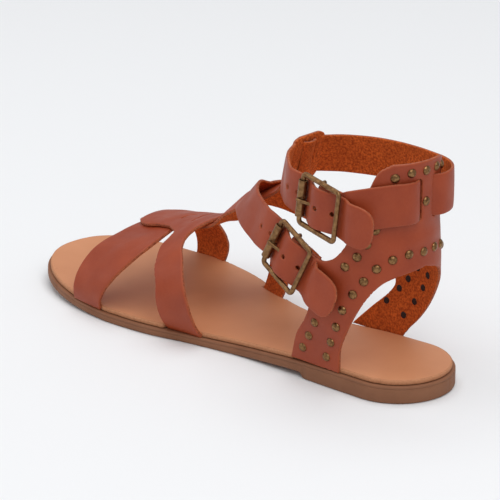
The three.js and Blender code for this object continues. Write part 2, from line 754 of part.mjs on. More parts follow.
for (const [level, frame] of [['upper', UPPER_BUCKLE], ['lower', LOWER_BUCKLE]]) {
  addPiece(`${level}_buckle`, place(makeBuckleFrame(), frame), brassFinish);
  addPiece(`${level}_prong`, place(makeProng(), frame), brassFinish);
  addPiece(`${level}_roller_top`, place(makeRoller(1), frame), brassFinish);
  addPiece(`${level}_roller_bottom`, place(makeRoller(-1), frame), brassFinish);
}

export default group;
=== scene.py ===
"""Gladiator sandal, left shoe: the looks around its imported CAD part.

Sizes are in millimetres until a piece is finished, when its mesh is scaled to metres.
+X points to the toe, +Y to the outer side of the foot and +Z up; the origin is on the floor
under the middle of the heel seat.
"""

import logging
import math
from collections.abc import Callable, Iterable, Sequence
from dataclasses import dataclass, field
from enum import Enum
from typing import Any, NamedTuple, Protocol

import bmesh
import bpy
import numpy as np
from bmesh.types import BMEdge, BMesh, BMFace, BMVert
from mathutils import Matrix, Vector, kdtree


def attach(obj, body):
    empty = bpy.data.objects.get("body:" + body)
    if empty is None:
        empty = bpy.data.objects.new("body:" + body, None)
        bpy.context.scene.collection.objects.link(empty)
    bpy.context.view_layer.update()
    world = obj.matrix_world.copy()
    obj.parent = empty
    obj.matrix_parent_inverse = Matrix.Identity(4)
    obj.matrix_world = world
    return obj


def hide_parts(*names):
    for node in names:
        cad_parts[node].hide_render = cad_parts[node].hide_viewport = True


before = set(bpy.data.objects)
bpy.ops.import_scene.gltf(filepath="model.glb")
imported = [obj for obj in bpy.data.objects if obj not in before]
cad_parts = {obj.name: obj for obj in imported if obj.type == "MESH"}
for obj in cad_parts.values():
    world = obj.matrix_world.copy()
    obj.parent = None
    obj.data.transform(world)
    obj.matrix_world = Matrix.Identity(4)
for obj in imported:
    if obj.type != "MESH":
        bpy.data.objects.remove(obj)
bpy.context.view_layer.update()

LOG = logging.getLogger("sandal")
MM = 0.001

Point = tuple[float, float]
Loop = list[Point]
Colour = tuple[float, float, float, float]


# ---- driving dimensions, as in the CAD part ----

GAP = 0.3  # air left between pieces that touch
LEATHER = 1.8  # wall of the cuff, vamp and T-bar
STRAP = 1.5  # thickness of the two buckled straps
STRAP_WIDTH = 19.5
T_BAR_WIDTH = 22.0
GRID = 1.6  # spacing of the lines that a leather panel bends along
FINE_GRID = 0.7  # the same where a strap folds round a buckle
BAND = 0.42  # strip of faces kept along every cut edge, where the wall thins
EDGE_SHARES = (0.55, 0.9, 1.0)  # how thick the wall is across that strip
BAND_CLEAR = 1.9 * BAND  # no point of the grid is kept nearer to a cut edge than this
MERGE = 0.3  # points of a panel that are nearer to each other are joined
SLAB_GRID = (3.0, 5.0)  # spacing of the sole's lines across and along the foot

HEEL_RADIUS = 27.0
TOE_START = 160.0
TOE_LENGTH = 63.0
TOE_END = TOE_START + TOE_LENGTH
HEEL_BREAST = 33.0
HEEL_TOP = 8.6
FOREPART_TOP = 4.4
WAIST_LIFT = 2.5
WAIST_END = 85.0
SPRING_START = 140.0
TOE_SPRING = 6.0
SEAT_END = 15.0
BALL_START = 95.0
FOOTBED = 2.2
FOOTBED_INSET = 1.5
SOLE_STATIONS = 130  # steps along each side of the sole, closer together at its ends
END_SHARE = 0.3  # share of a step that is left at each end
BREAST_STEP = 0.1  # how far the heel's front face leans
NOTCH_STEP = 0.3  # how far the ends of a notch for a leg's foot lean
END_HALF = 0.3  # half width that is left at the very ends of the sole
WALL_HEIGHT = 1.2  # above the sole's top, where the footbed's clearance is measured
FORM_JOIN = 80.0  # behind this the leather's inner face is taken from the ankle's form
LEG_FOOT = HEEL_TOP + GAP
VAMP_FOOT = FOREPART_TOP + GAP


class Side(Enum):
    """The two sides of the foot, with the sign of Y on each."""

    LATERAL = 1
    MEDIAL = -1


TOE_POWER = {Side.LATERAL: 2.1, Side.MEDIAL: 2.5}


class SoleRow(NamedTuple):
    """Half widths of the outsole at one place along it."""

    x: float
    lateral: float
    medial: float


class AnkleRow(NamedTuple):
    """A level section of the heel and ankle, as half axes from the ankle axis."""

    z: float
    back: float
    front: float
    lateral: float
    medial: float
    power: float


class ForefootRow(NamedTuple):
    """An upright section of the forefoot."""

    x: float
    lateral: float
    medial: float
    middle: float
    crest: float


class RoutePoint(NamedTuple):
    """A place on a strap's line, and how far its top tips inwards in degrees."""

    x: float
    y: float
    z: float
    lean: float


class BendPoint(NamedTuple):
    """A place on a strap at its buckle: distance to the tail and height over the bar."""

    s: float
    h: float


def table(kind: Any, *rows: Sequence[Any]) -> list[Any]:
    """Rows of numbers, each turned into the kind that names them."""
    return [kind(*row) for row in rows]


SOLE_ROWS = table(
    SoleRow,
    (0, 27.6, 26.2), (25, 28.5, 24.2), (50, 28.9, 22.6), (75, 29.9, 24.4), (100, 34.3, 31.1),
    (125, 40.3, 41.4), (150, 42.8, 46.6), (160, 42.4, 46.8), (180, 41.6, 44.4), (223, 41, 42),
)

ANKLE_AXIS = 25.0
ANKLE_ROWS = table(
    AnkleRow,
    (4, 39, 60, 26.9, 24, 3.4), (12, 39, 60, 27.4, 24.4, 3.4), (26, 39, 66, 29.2, 26.6, 3),
    (42, 39, 72, 30.4, 29, 2.5), (60, 39.2, 70, 30.8, 30.6, 2.2), (84, 39.3, 50, 31, 31, 2),
    (118, 39.3, 43, 31, 31, 2),
)

RIDGE = -6.0  # the ridge of the foot lies to the inner side
FOREFOOT_ROWS = table(
    ForefootRow,
    (84, 39, 34, 26.2, 60.6), (105, 40, 36, 23.2, 54.8), (125, 42, 41, 19.2, 47.4),
    (150, 43, 46, 14, 41.2), (168, 41.5, 46.5, 11, 37.6), (184, 39, 44, 10, 34.6),
)


# ---- numbers and curves ----


def smooth(t: float) -> float:
    """Eases a share from 0 to 1, level at both ends."""
    u = min(1.0, max(0.0, t))
    return u * u * (3 - 2 * u)


def between(low: float, high: float, spacing: float) -> list[float]:
    """Evenly spaced places from one number to another.

    Args:
        low: the first place.
        high: the last place.
        spacing: about how far apart they are.

    Returns:
        The places, both ends among them.
    """
    count = max(1, round((high - low) / spacing))
    return [low + (high - low) * k / count for k in range(count + 1)]


def hermite(t: float, start: Any, end: Any, leave: Any, arrive: Any) -> Any:
    """A smooth curve between two numbers or points.

    Args:
        t: the share of the way.
        start: where the curve begins.
        end: where it ends.
        leave: its rise at the start.
        arrive: its rise at the end.

    Returns:
        The curve's value at that share.
    """
    near, far = 2 * t**3 - 3 * t**2 + 1, 3 * t**2 - 2 * t**3
    going, coming = t**3 - 2 * t**2 + t, t**3 - t**2
    return near * start + going * leave + (far * end + coming * arrive)


def column(rows: Sequence[Any], name: str, at: float) -> float:
    """Reads one column of a table at a place between its rows, on a smooth curve.

    Args:
        rows: the table; a row's first field is its place.
        name: the column to read.
        at: the place.

    Returns:
        The column's value there.
    """
    last = len(rows) - 1
    place = min(max(at, rows[0][0]), rows[last][0])
    i = next((k for k in range(last) if place <= rows[k + 1][0]), last - 1)

    def slope(k: int) -> float:
        """The curve's slope at a row."""
        low, high = max(0, k - 1), min(last, k + 1)
        rise = getattr(rows[high], name) - getattr(rows[low], name)
        return rise / (rows[high][0] - rows[low][0])

    h = rows[i + 1][0] - rows[i][0]
    low, high = (getattr(rows[k], name) for k in (i, i + 1))
    return hermite((place - rows[i][0]) / h, low, high, h * slope(i), h * slope(i + 1))


def run(points: Sequence[Point], spacing: float = GRID) -> Loop:
    """A smooth line through a few points, or a straight one through two.

    Args:
        points: the points in order.
        spacing: about how far apart the line's own points are.

    Returns:
        The points of the line, both ends among them.
    """
    spots = [Vector(p) for p in points]
    line = [tuple(spots[0])]
    for k in range(len(spots) - 1):
        p1, p2 = spots[k], spots[k + 1]
        p0, p3 = spots[max(0, k - 1)], spots[min(len(spots) - 1, k + 2)]
        v1, v2 = (p2 - p0) / 2, (p3 - p1) / 2
        if len(spots) == 2:
            v1 = v2 = p2 - p1
        steps = max(1, math.ceil((p2 - p1).length / spacing))
        line += [tuple(hermite(i / steps, p1, p2, v1, v2)) for i in range(1, steps + 1)]
    return line


def closed(*runs: Sequence[Point], spacing: float = GRID) -> Loop:
    """A closed outline of smooth runs with a corner where one ends and the next begins.

    Args:
        runs: the runs in order; each begins where the one before it ended.
        spacing: about how far apart the outline's points are.

    Returns:
        The outline's points, without the first one again at the end.
    """
    loop: Loop = []
    start = runs[0][0]
    for points in runs:
        loop += run([start, *points] if loop else points, spacing)[bool(loop) :]
        start = loop[-1]
    loop += run([start, loop[0]], spacing)[1:-1]
    return loop


def round_hole(u: float, v: float, radius: float, sides: int = 12) -> Loop:
    """A punched round hole in a panel."""
    turns = [2 * math.pi * k / sides for k in range(sides)]
    return [(u + radius * math.cos(t), v + radius * math.sin(t)) for t in turns]


def slit(points: Sequence[Point], width: float) -> Loop:
    """A narrow cut with round ends along a line in a panel.

    Args:
        points: the line's points in order.
        width: the cut's width.

    Returns:
        The cut's outline.
    """
    spots = [Vector(p) for p in run(points)]
    there, back = [], []
    for k, spot in enumerate(spots):
        way = (spots[min(k + 1, len(spots) - 1)] - spots[max(k - 1, 0)]).normalized()
        side = Vector((-way.y, way.x)) * width / 2
        there.append(tuple(spot + side))
        back.append(tuple(spot - side))
        if k == 0:
            tip = tuple(spot - way * width / 2)
    end = spots[-1] + (spots[-1] - spots[-2]).normalized() * width / 2
    return [tip, *there, tuple(end), *reversed(back)]


# ---- surfaces that leather lies on ----


class Surface(Protocol):
    """What a flat panel can be laid on."""

    def place(self, u: float, v: float, lift: float = 0.0) -> tuple[Vector, Vector]:
        """The point for a panel's own two measures, and the way out from there."""
        ...


class AnkleForm:
    """The heel and ankle: u runs round it from the back, to the outer side, and v is height."""

    def section(self, z: float, side: Side) -> tuple[np.ndarray, ...]:
        """Half of a level section.

        Args:
            z: its height.
            side: which half.

        Returns:
            X, Y and the distance round from the back, along the half section.
        """
        power = 2 / column(ANKLE_ROWS, "power", z)
        turn = math.pi * (1 + np.cos(np.linspace(0, math.pi, 260))) / 2
        along, across = np.cos(turn), np.abs(np.sin(turn))
        back, front = (column(ANKLE_ROWS, name, z) for name in ("back", "front"))
        reach = np.where(along < 0, back, front)
        x = ANKLE_AXIS + np.sign(along) * reach * np.abs(along) ** power
        y = side.value * column(ANKLE_ROWS, side.name.lower(), z) * across**power
        steps = np.hypot(np.diff(x), np.diff(y))
        return x, y, np.concatenate([[0], np.cumsum(steps)])

    def arc(self, x: float, z: float, side: Side) -> float:
        """The distance round from the back to a place along the foot."""
        xs, _, arcs = self.section(z, side)
        return side.value * float(np.interp(x, xs, arcs))

    def width(self, x: float, z: float, side: Side) -> float:
        """How far out the form is at a place along the foot."""
        xs, ys, _ = self.section(z, side)
        return abs(float(np.interp(x, xs, ys)))

    def place(self, u: float, v: float, lift: float = 0.0) -> tuple[Vector, Vector]:
        """The point at a distance round and a height, and the way out from there."""
        x, y, arcs = self.section(v, Side.LATERAL if u >= 0 else Side.MEDIAL)
        reach = abs(u)
        at = [float(np.interp(reach + d, arcs, c)) for d in (-0.6, 0.6) for c in (x, y)]
        if reach < 0.6:  # the line turns back on itself at the heel's middle
            at[0], at[1] = at[2], -at[3]
        way = Vector((at[2] - at[0], at[3] - at[1], 0)).normalized()
        out = Vector((way.y, -way.x, 0)) * (1 if u >= 0 else -1)
        if out.dot(Vector((at[0] - ANKLE_AXIS, at[1], 0))) < 0:
            out.negate()
        spot = Vector((np.interp(reach, arcs, x), np.interp(reach, arcs, y), v))
        return spot + out * lift, out


class ForefootForm:
    """The forefoot: u is X and v runs round it from the ridge, to the outer side."""

    LOWEST = -1.2  # how far below the middle the section is followed, in radians

    def section(self, x: float) -> tuple[np.ndarray, ...]:
        """One upright section, from the inner side over the ridge to the outer side.

        Args:
            x: its place along the foot.

        Returns:
            Y, Z and the distance round from the ridge.
        """
        lateral, medial, middle, crest = (
            column(FOREFOOT_ROWS, name, x) for name in ForefootRow._fields[1:]
        )
        turn = np.linspace(math.pi - self.LOWEST, self.LOWEST, 321)
        rise = np.sin(turn)
        y = (lateral - medial) / 2 + (lateral + medial) / 2 * np.cos(turn)
        y = y + RIDGE * np.maximum(0, rise) ** 2
        z = middle + (crest - middle) * rise
        arcs = np.concatenate([[0], np.cumsum(np.hypot(np.diff(y), np.diff(z)))])
        return y, z, arcs - arcs[np.argmax(z)]

    def at_height(self, x: float, z: float, side: Side) -> Point:
        """How far out one side is at a height, and the distance round to there."""
        across, heights, arcs = self.section(x)
        half = arcs * side.value > 0
        order = np.argsort(heights[half])
        rising = heights[half][order]
        reach, arc = (float(np.interp(z, rising, c[half][order])) for c in (across, arcs))
        return abs(reach), arc

    def base(self, x: float, side: Side) -> float:
        """The distance round to the outsole's top at a place along the foot."""
        return self.at_height(x, VAMP_FOOT + sole_spring(x), side)[1]

    def place(self, u: float, v: float, lift: float = 0.0) -> tuple[Vector, Vector]:
        """The point at a place along and a distance round, and the way out from there."""
        y, z, arcs = self.section(u)
        spot = Vector((u, np.interp(v, arcs, y), np.interp(v, arcs, z)))
        ahead = Vector((0, np.interp(v + 0.5, arcs, y), np.interp(v + 0.5, arcs, z)))
        behind = Vector((0, np.interp(v - 0.5, arcs, y), np.interp(v - 0.5, arcs, z)))
        way = (ahead - behind).normalized()
        further = self.section(u + 1)
        slope = Vector(
            (1, np.interp(v, further[2], further[0]), np.interp(v, further[2], further[1]))
        ) - Vector((0, spot.y, spot.z))
        out = slope.cross(way).normalized()
        if out.dot(Vector((0, -way.z, way.y))) < 0:
            out.negate()
        return spot + out * lift, out


class StrapPath:
    """A strap's line through space: u is the distance along it and v the place across it."""

    STEPS = 14  # points worked out between two rows

    def __init__(self, rows: Sequence[tuple[Vector, Vector]], facing: int = 1) -> None:
        """Works the line out.

        Args:
            rows: points and the ways across the strap there.
            facing: 1 if the grain side is along tangent x across, else -1.
        """
        self.facing = facing
        spots = [point for point, _ in rows]
        spots = [2 * spots[0] - spots[1], *spots, 2 * spots[-1] - spots[-2]]
        self.points: list[Vector] = []
        self.across: list[Vector] = []
        for k in range(len(rows) - 1):
            p0, p1, p2, p3 = spots[k : k + 4]
            d0, d1, d2 = ((b - a).length ** 0.5 for a, b in ((p0, p1), (p1, p2), (p2, p3)))
            m1 = ((p1 - p0) / d0 - (p2 - p0) / (d0 + d1) + (p2 - p1) / d1) * d1
            m2 = ((p2 - p1) / d1 - (p3 - p1) / (d1 + d2) + (p3 - p2) / d2) * d1
            last = k == len(rows) - 2
            for i in range(self.STEPS + last):
                t = i / self.STEPS
                # The same curve as hermite, in an order of sums that keeps its last digits.
                p = (2 * t**3 - 3 * t**2 + 1) * p1 + (t**3 - 2 * t**2 + t) * m1
                self.points.append(p + (3 * t**2 - 2 * t**3) * p2 + (t**3 - t**2) * m2)
                self.across.append(rows[k][1].lerp(rows[k + 1][1], t))
        steps = [(b - a).length for a, b in zip(self.points, self.points[1:])]
        self.arcs = np.concatenate([[0], np.cumsum(steps)])
        self.length = float(self.arcs[-1])

    def axes(self, u: float) -> tuple[Vector, Vector, Vector, Vector]:
        """The point at a distance along, and the ways along, across and out."""
        k = int(np.clip(np.searchsorted(self.arcs, u) - 1, 0, len(self.points) - 2))
        t = (u - self.arcs[k]) / max(1e-9, self.arcs[k + 1] - self.arcs[k])

        def tangent(i: int) -> Vector:
            """The line's direction at one of its points."""
            low, high = max(0, i - 1), min(len(self.points) - 1, i + 1)
            return (self.points[high] - self.points[low]).normalized()

        along = tangent(k).lerp(tangent(k + 1), min(1, max(0, t))).normalized()
        across = self.across[k].lerp(self.across[k + 1], min(1, max(0, t)))
        across = (across - along * across.dot(along)).normalized()
        return self.points[k].lerp(self.points[k + 1], t), along, across, along.cross(across)

    def place(self, u: float, v: float, lift: float = 0.0) -> tuple[Vector, Vector]:
        """The point at a distance along and a place across, and the way out from there."""
        point, _, across, out = self.axes(u)
        out = out * self.facing
        return point + across * v + out * lift, out

    def nearest(self, target: Vector, low: float = 0.0, high: float = math.inf) -> float:
        """The distance along to the place nearest a point, on the stretch from low to high."""
        gaps = [
            (spot - target).length if low <= arc <= high else math.inf
            for spot, arc in zip(self.points, self.arcs)
        ]
        return float(self.arcs[int(np.argmin(gaps))])


@dataclass(frozen=True)
class Crease:
    """A soft ridge, or a trough if its height is negative, placed on a panel."""

    u: float
    v: float
    turn: float  # its direction from the u way, in degrees
    length: float
    width: float
    height: float

    def lift(self, u: float, v: float) -> float:
        """How far the crease moves the leather at a place."""
        a = math.radians(self.turn)
        du, dv = u - self.u, v - self.v
        along = du * math.cos(a) + dv * math.sin(a)
        across = dv * math.cos(a) - du * math.sin(a)
        fade = math.exp(-((2 * along / self.length) ** 4))
        return self.height * fade * math.exp(-((across / self.width) ** 2))


def relief(creases: Iterable[Crease]) -> Callable[[float, float], float]:
    """The lift of several creases together."""
    marks = list(creases)
    return lambda u, v: sum(mark.lift(u, v) for mark in marks)


@dataclass
class Panel:
    """A flat cut piece, drawn in its own two measures, that is then laid on a surface."""

    border: Loop
    holes: list[Loop] = field(default_factory=list)
    u_lines: Sequence[float] = ()
    v_lines: Sequence[float] = ()

    def cut(self) -> BMesh:
        """Fills the outline round its holes and divides it along the grid lines."""
        bm = bmesh.new()
        for loop in [self.border, *self.holes]:
            ring = [bm.verts.new((u, v, 0)) for u, v in loop]
            for a, b in zip(ring, ring[1:] + ring[:1]):
                bm.edges.new((a, b))
        bmesh.ops.triangle_fill(bm, use_beauty=True, edges=bm.edges[:], normal=(0, 0, 1))
        for way, places in ((Vector((1, 0, 0)), self.u_lines), (Vector((0, 1, 0)), self.v_lines)):
            for at in places:
                geom = bm.verts[:] + bm.edges[:] + bm.faces[:]
                bmesh.ops.bisect_plane(bm, geom=geom, dist=1e-4, plane_co=way * at, plane_no=way)
        self.clear_diagonals(bm)
        bmesh.ops.remove_doubles(bm, verts=bm.verts[:], dist=MERGE)
        return bm

    @staticmethod
    def border_tree(bm: BMesh) -> kdtree.KDTree:
        """Points along the border's edges, to find the nearest one quickly."""
        edges = [e for e in bm.edges if e.is_boundary]
        tree = kdtree.KDTree(4 * len(edges))
        for i, edge in enumerate(edges):
            for k in range(4):
                tree.insert(edge.verts[0].co.lerp(edge.verts[1].co, k / 4), 4 * i + k)
        tree.balance()
        return tree

    @classmethod
    def band(cls, bm: BMesh) -> None:
        """Gives the border even strips of faces, on which the wall thins to a round edge."""
        tree = cls.border_tree(bm)
        near = [v for v in bm.verts if not v.is_boundary and tree.find(v.co)[2] < BAND_CLEAR]
        bmesh.ops.dissolve_verts(bm, verts=near)
        share = bm.verts.layers.deform.verify()
        for v in bm.verts:
            v[share][0] = EDGE_SHARES[0] if v.is_boundary else 1.0
        inner = set(bm.faces)
        for thickness in EDGE_SHARES[1:]:
            made = bmesh.ops.inset_region(
                bm, faces=list(inner), thickness=BAND / 2, use_boundary=True
            )["faces"]
            inner = {f for f in inner if f.is_valid} - set(made)
            for v in {v for f in made for v in f.verts if inner & set(v.link_faces)}:
                v[share][0] = thickness

    @staticmethod
    def clear_diagonals(bm: BMesh) -> None:
        """Takes out the filling's own slanted edges, away from the border."""

        def slanted(edge: BMEdge) -> bool:
            """Whether an inner edge lies on no grid line and touches no border face."""
            if any(v.is_boundary for f in edge.link_faces for v in f.verts):
                return False
            a, b = (v.co for v in edge.verts)
            return abs(a.x - b.x) > 1e-3 and abs(a.y - b.y) > 1e-3

        bmesh.ops.dissolve_edges(bm, edges=[e for e in bm.edges if slanted(e)], use_verts=False)
        loose = [v for v in bm.verts if not v.is_boundary and len(v.link_edges) == 2]
        bmesh.ops.dissolve_verts(bm, verts=loose)

    @staticmethod
    def measure_rim(bm: BMesh) -> None:
        """Keeps each point's distance to the nearest cut edge, for the finish."""
        rim = bm.verts.layers.float.new("rim")
        tree = Panel.border_tree(bm)
        for v in bm.verts:
            v[rim] = tree.find(v.co)[2]

    def lay(self, surface: Surface, lift: Callable[[float, float], float]) -> BMesh:
        """Cuts the panel and lays it on a surface.

        Args:
            surface: what it lies on.
            lift: how far each place stands off the surface.

        Returns:
            The panel's middle layer, its faces pointing out.
        """
        bm = self.cut()
        self.band(bm)
        self.measure_rim(bm)
        score = 0.0
        for v in bm.verts:
            v.co, v.normal = surface.place(v.co.x, v.co.y, lift(v.co.x, v.co.y))
        outs = {v: v.normal.copy() for v in bm.verts}
        for f in bm.faces:
            f.normal_update()
            score += f.normal.dot(outs[f.verts[0]]) * f.calc_area()
        if score < 0:
            bmesh.ops.reverse_faces(bm, faces=bm.faces[:])
        return bm


# ---- finishes ----


def linear(colour: str) -> Colour:
    """Turns an sRGB colour such as "#994730" to the linear values a shader takes."""
    shares = [int(colour[i : i + 2], 16) / 255 for i in (1, 3, 5)]
    return (*(c / 12.92 if c <= 0.04045 else ((c + 0.055) / 1.055) ** 2.4 for c in shares), 1.0)


def per_mm(size: float) -> float:
    """The scale of a pattern whose features are that many millimetres across."""
    return 1 / (size * MM)


def add_node(
    tree: bpy.types.NodeTree,
    kind: str,
    settings: dict[str, Any] | None = None,
    inputs: dict[Any, Any] | None = None,
) -> bpy.types.Node:
    """Adds one node with its settings, its values and the links into it.

    Args:
        tree: the material's or world's node tree.
        kind: the node's type.
        settings: its properties by name.
        inputs: its inputs by name or number, each a value or another node's output.

    Returns:
        The node.
    """
    made = tree.nodes.new(kind)
    for name, value in (settings or {}).items():
        setattr(made, name, value)
    for name, value in (inputs or {}).items():
        if isinstance(value, bpy.types.NodeSocket):
            tree.links.new(value, made.inputs[name])
        else:
            made.inputs[name].default_value = value
    return made


@dataclass(frozen=True)
class Finish:
    """What every finish has: a name, two shades that it wanders between, and its gloss."""

    name: str
    colour: str
    deep: str
    roughness: float

    def material(self) -> bpy.types.Material:
        """The finish's material, made the first time that it is asked for."""
        known = bpy.data.materials.get(self.name)
        if known:
            return known
        made = bpy.data.materials.new(self.name)
        made.use_nodes = True
        made.diffuse_color = linear(self.colour)
        tree = made.node_tree
        tree.nodes.clear()
        shader = add_node(tree, "ShaderNodeBsdfPrincipled")
        self.tune(shader, Roughness=self.roughness)
        self.dress(tree, shader)
        add_node(tree, "ShaderNodeOutputMaterial", inputs={"Surface": shader.outputs[0]})
        return made

    def dress(self, tree: bpy.types.NodeTree, shader: bpy.types.Node) -> None:
        """Gives the shader its colour, gloss and relief."""
        raise NotImplementedError

    @staticmethod
    def tune(shader: bpy.types.Node, **levels: Any) -> None:
        """Sets some of the shader's levels, with underscores for the spaces in their names."""
        for name, level in levels.items():
            shader.inputs[name.replace("_", " ")].default_value = level

    @staticmethod
    def spot(tree: bpy.types.NodeTree) -> bpy.types.NodeSocket:
        """The place on the object that a pattern reads."""
        return add_node(tree, "ShaderNodeTexCoord").outputs["Object"]

    def noise(self, tree: bpy.types.NodeTree, size: float, detail: float = 2.0) -> Any:
        """Cloudy noise with features of a size in millimetres."""
        inputs = {"Vector": self.spot(tree), "Scale": per_mm(size), "Detail": detail}
        return add_node(tree, "ShaderNodeTexNoise", inputs=inputs).outputs["Fac"]

    @staticmethod
    def mapped(
        tree: bpy.types.NodeTree, value: Any, span: Point, onto: Point = (0, 1)
    ) -> bpy.types.NodeSocket:
        """A value's span stretched onto another."""
        inputs = {0: value, 1: span[0], 2: span[1], 3: onto[0], 4: onto[1]}
        return add_node(tree, "ShaderNodeMapRange", inputs=inputs).outputs[0]

    @staticmethod
    def mixed(tree: bpy.types.NodeTree, share: Any, a: Any, b: Any) -> bpy.types.NodeSocket:
        """Two colours mixed by a share."""
        node = add_node(tree, "ShaderNodeMix", {"data_type": "RGBA"}, {0: share, 6: a, 7: b})
        return node.outputs[2]

    def dyed(self, tree: bpy.types.NodeTree, shader: bpy.types.Node, share: Any) -> None:
        """Gives the shader a base colour that wanders from the deep shade to the main one."""
        dye = self.mixed(tree, share, linear(self.deep), linear(self.colour))
        tree.links.new(dye, shader.inputs["Base Color"])

    @staticmethod
    def bump(
        tree: bpy.types.NodeTree, height: Any, depth: float, strength: float, under: Any = None
    ) -> bpy.types.NodeSocket:
        """Relief of a depth in millimetres, over other relief if there is any."""
        inputs = {"Height": height, "Distance": depth * MM, "Strength": strength}
        if under is not None:
            inputs["Normal"] = under
        return add_node(tree, "ShaderNodeBump", inputs=inputs).outputs[0]


@dataclass(frozen=True)
class GrainLeather(Finish):
    """Corrected-grain cowhide, drum-dyed and lightly waxed: an even satin face with a fine
    pebble, slightly cloudy dye, and a burnished line beside each cut edge."""

    burnish: str = "#AB5431"
    grain: float = 0.85  # pebbles across, in mm
    clouds: float = 17.0

    def dress(self, tree: bpy.types.NodeTree, shader: bpy.types.Node) -> None:
        """Gives the shader its colour, gloss and relief."""
        cloud = self.mapped(tree, self.noise(tree, self.clouds, 4), (0.34, 0.66))
        dye = self.mixed(tree, cloud, linear(self.deep), linear(self.colour))
        fleck = self.mapped(tree, self.noise(tree, 1.3, 2), (0.3, 0.75), (0.0, 0.12))
        dye = self.mixed(tree, fleck, dye, linear(self.burnish))
        rim = add_node(tree, "ShaderNodeAttribute", {"attribute_name": "rim"}).outputs["Fac"]
        worn = self.mapped(tree, rim, (0.1, 0.8), (0.35, 0.0))
        dye = self.mixed(tree, worn, dye, linear(self.burnish))
        tree.links.new(dye, shader.inputs["Base Color"])
        gloss = self.mapped(
            tree, self.noise(tree, 9, 3), (0.3, 0.7), (self.roughness - 0.06, self.roughness + 0.07)
        )
        tree.links.new(gloss, shader.inputs["Roughness"])
        self.tune(shader, IOR=1.46, Specular_IOR_Level=0.36)
        inputs = {"Vector": self.spot(tree), "Scale": per_mm(self.grain)}
        cell = add_node(
            tree, "ShaderNodeTexVoronoi", {"feature": "SMOOTH_F1"}, {**inputs, "Smoothness": 0.6}
        )
        pebble = self.bump(tree, cell.outputs["Distance"], 0.05, 0.22)
        pores = self.bump(tree, self.noise(tree, 0.35, 2), 0.03, 0.25, pebble)
        pull = self.bump(tree, self.noise(tree, 6.5, 2), 0.5, 0.16, pores)
        tree.links.new(pull, shader.inputs["Normal"])


@dataclass(frozen=True)
class Suede(Finish):
    """Split-hide lining with its nap up: dry, matt and speckled. The nap is drawn coarser
    than real fibres, so that it shows."""

    nap: float = 1.0

    def dress(self, tree: bpy.types.NodeTree, shader: bpy.types.Node) -> None:
        """Gives the shader its colour, gloss and relief."""
        nap = self.noise(tree, self.nap, 4)
        speckle = self.mapped(tree, nap, (0.36, 0.64))
        cloud = self.mapped(tree, self.noise(tree, 11, 3), (0.3, 0.7), (0.0, 0.45))
        dye = self.mixed(tree, speckle, linear(self.deep), linear(self.colour))
        dye = self.mixed(tree, cloud, dye, linear(self.deep))
        tree.links.new(dye, shader.inputs["Base Color"])
        self.tune(shader, IOR=1.4, Specular_IOR_Level=0.2)
        self.tune(shader, Sheen_Weight=0.25, Sheen_Roughness=0.6, Sheen_Tint=linear("#E08A50"))
        tree.links.new(self.bump(tree, nap, 0.35, 0.5), shader.inputs["Normal"])


@dataclass(frozen=True)
class CutEdge(Finish):
    """The raw cut through dyed leather: fibrous, with the lighter core showing in places."""

    def dress(self, tree: bpy.types.NodeTree, shader: bpy.types.Node) -> None:
        """Gives the shader its colour, gloss and relief."""
        fibre = self.noise(tree, 1.1, 4)
        share = self.mapped(tree, fibre, (0.32, 0.62))
        self.dyed(tree, shader, share)
        self.tune(shader, IOR=1.45)
        tree.links.new(self.bump(tree, fibre, 0.2, 0.35), shader.inputs["Normal"])


@dataclass(frozen=True)
class SockLeather(Finish):
    """Smooth coated insole leather: even, slightly waxy, with a very fine printed grain."""

    def dress(self, tree: bpy.types.NodeTree, shader: bpy.types.Node) -> None:
        """Gives the shader its colour, gloss and relief."""
        cloud = self.mapped(tree, self.noise(tree, 26, 3), (0.32, 0.68))
        self.dyed(tree, shader, cloud)
        self.tune(shader, IOR=1.48)
        grain = self.bump(tree, self.noise(tree, 0.7, 3), 0.05, 0.3)
        waves = self.bump(tree, self.noise(tree, 12, 2), 0.6, 0.12, grain)
        tree.links.new(waves, shader.inputs["Normal"])


@dataclass(frozen=True)
class MouldedRubber(Finish):
    """Injection-moulded thermoplastic rubber: matt, with the mould's fine spark grain, and
    shallow bars across the underside."""

    bars: float = 4.0  # spacing of the tread bars

    def dress(self, tree: bpy.types.NodeTree, shader: bpy.types.Node) -> None:
        """Gives the shader its colour, gloss and relief."""
        cloud = self.mapped(tree, self.noise(tree, 14, 4), (0.3, 0.7))
        self.dyed(tree, shader, cloud)
        self.tune(shader, IOR=1.5, Specular_IOR_Level=0.35)
        grain = self.bump(tree, self.noise(tree, 0.5, 3), 0.08, 0.4)
        wave = add_node(
            tree,
            "ShaderNodeTexWave",
            {"wave_type": "BANDS", "bands_direction": "X", "wave_profile": "SIN"},
            {"Vector": self.spot(tree), "Scale": per_mm(self.bars) / 20, "Distortion": 0.0},
        ).outputs["Fac"]
        normal = add_node(tree, "ShaderNodeNewGeometry").outputs["True Normal"]
        facing = add_node(tree, "ShaderNodeSeparateXYZ", inputs={0: normal}).outputs["Z"]
        under = self.mapped(tree, facing, (-0.7, -0.9), (0, 1))
        bars = add_node(tree, "ShaderNodeMath", {"operation": "MULTIPLY"}, {0: wave, 1: under})
        tread = self.bump(tree, bars.outputs[0], 0.8, 0.6, grain)
        tree.links.new(tread, shader.inputs["Normal"])


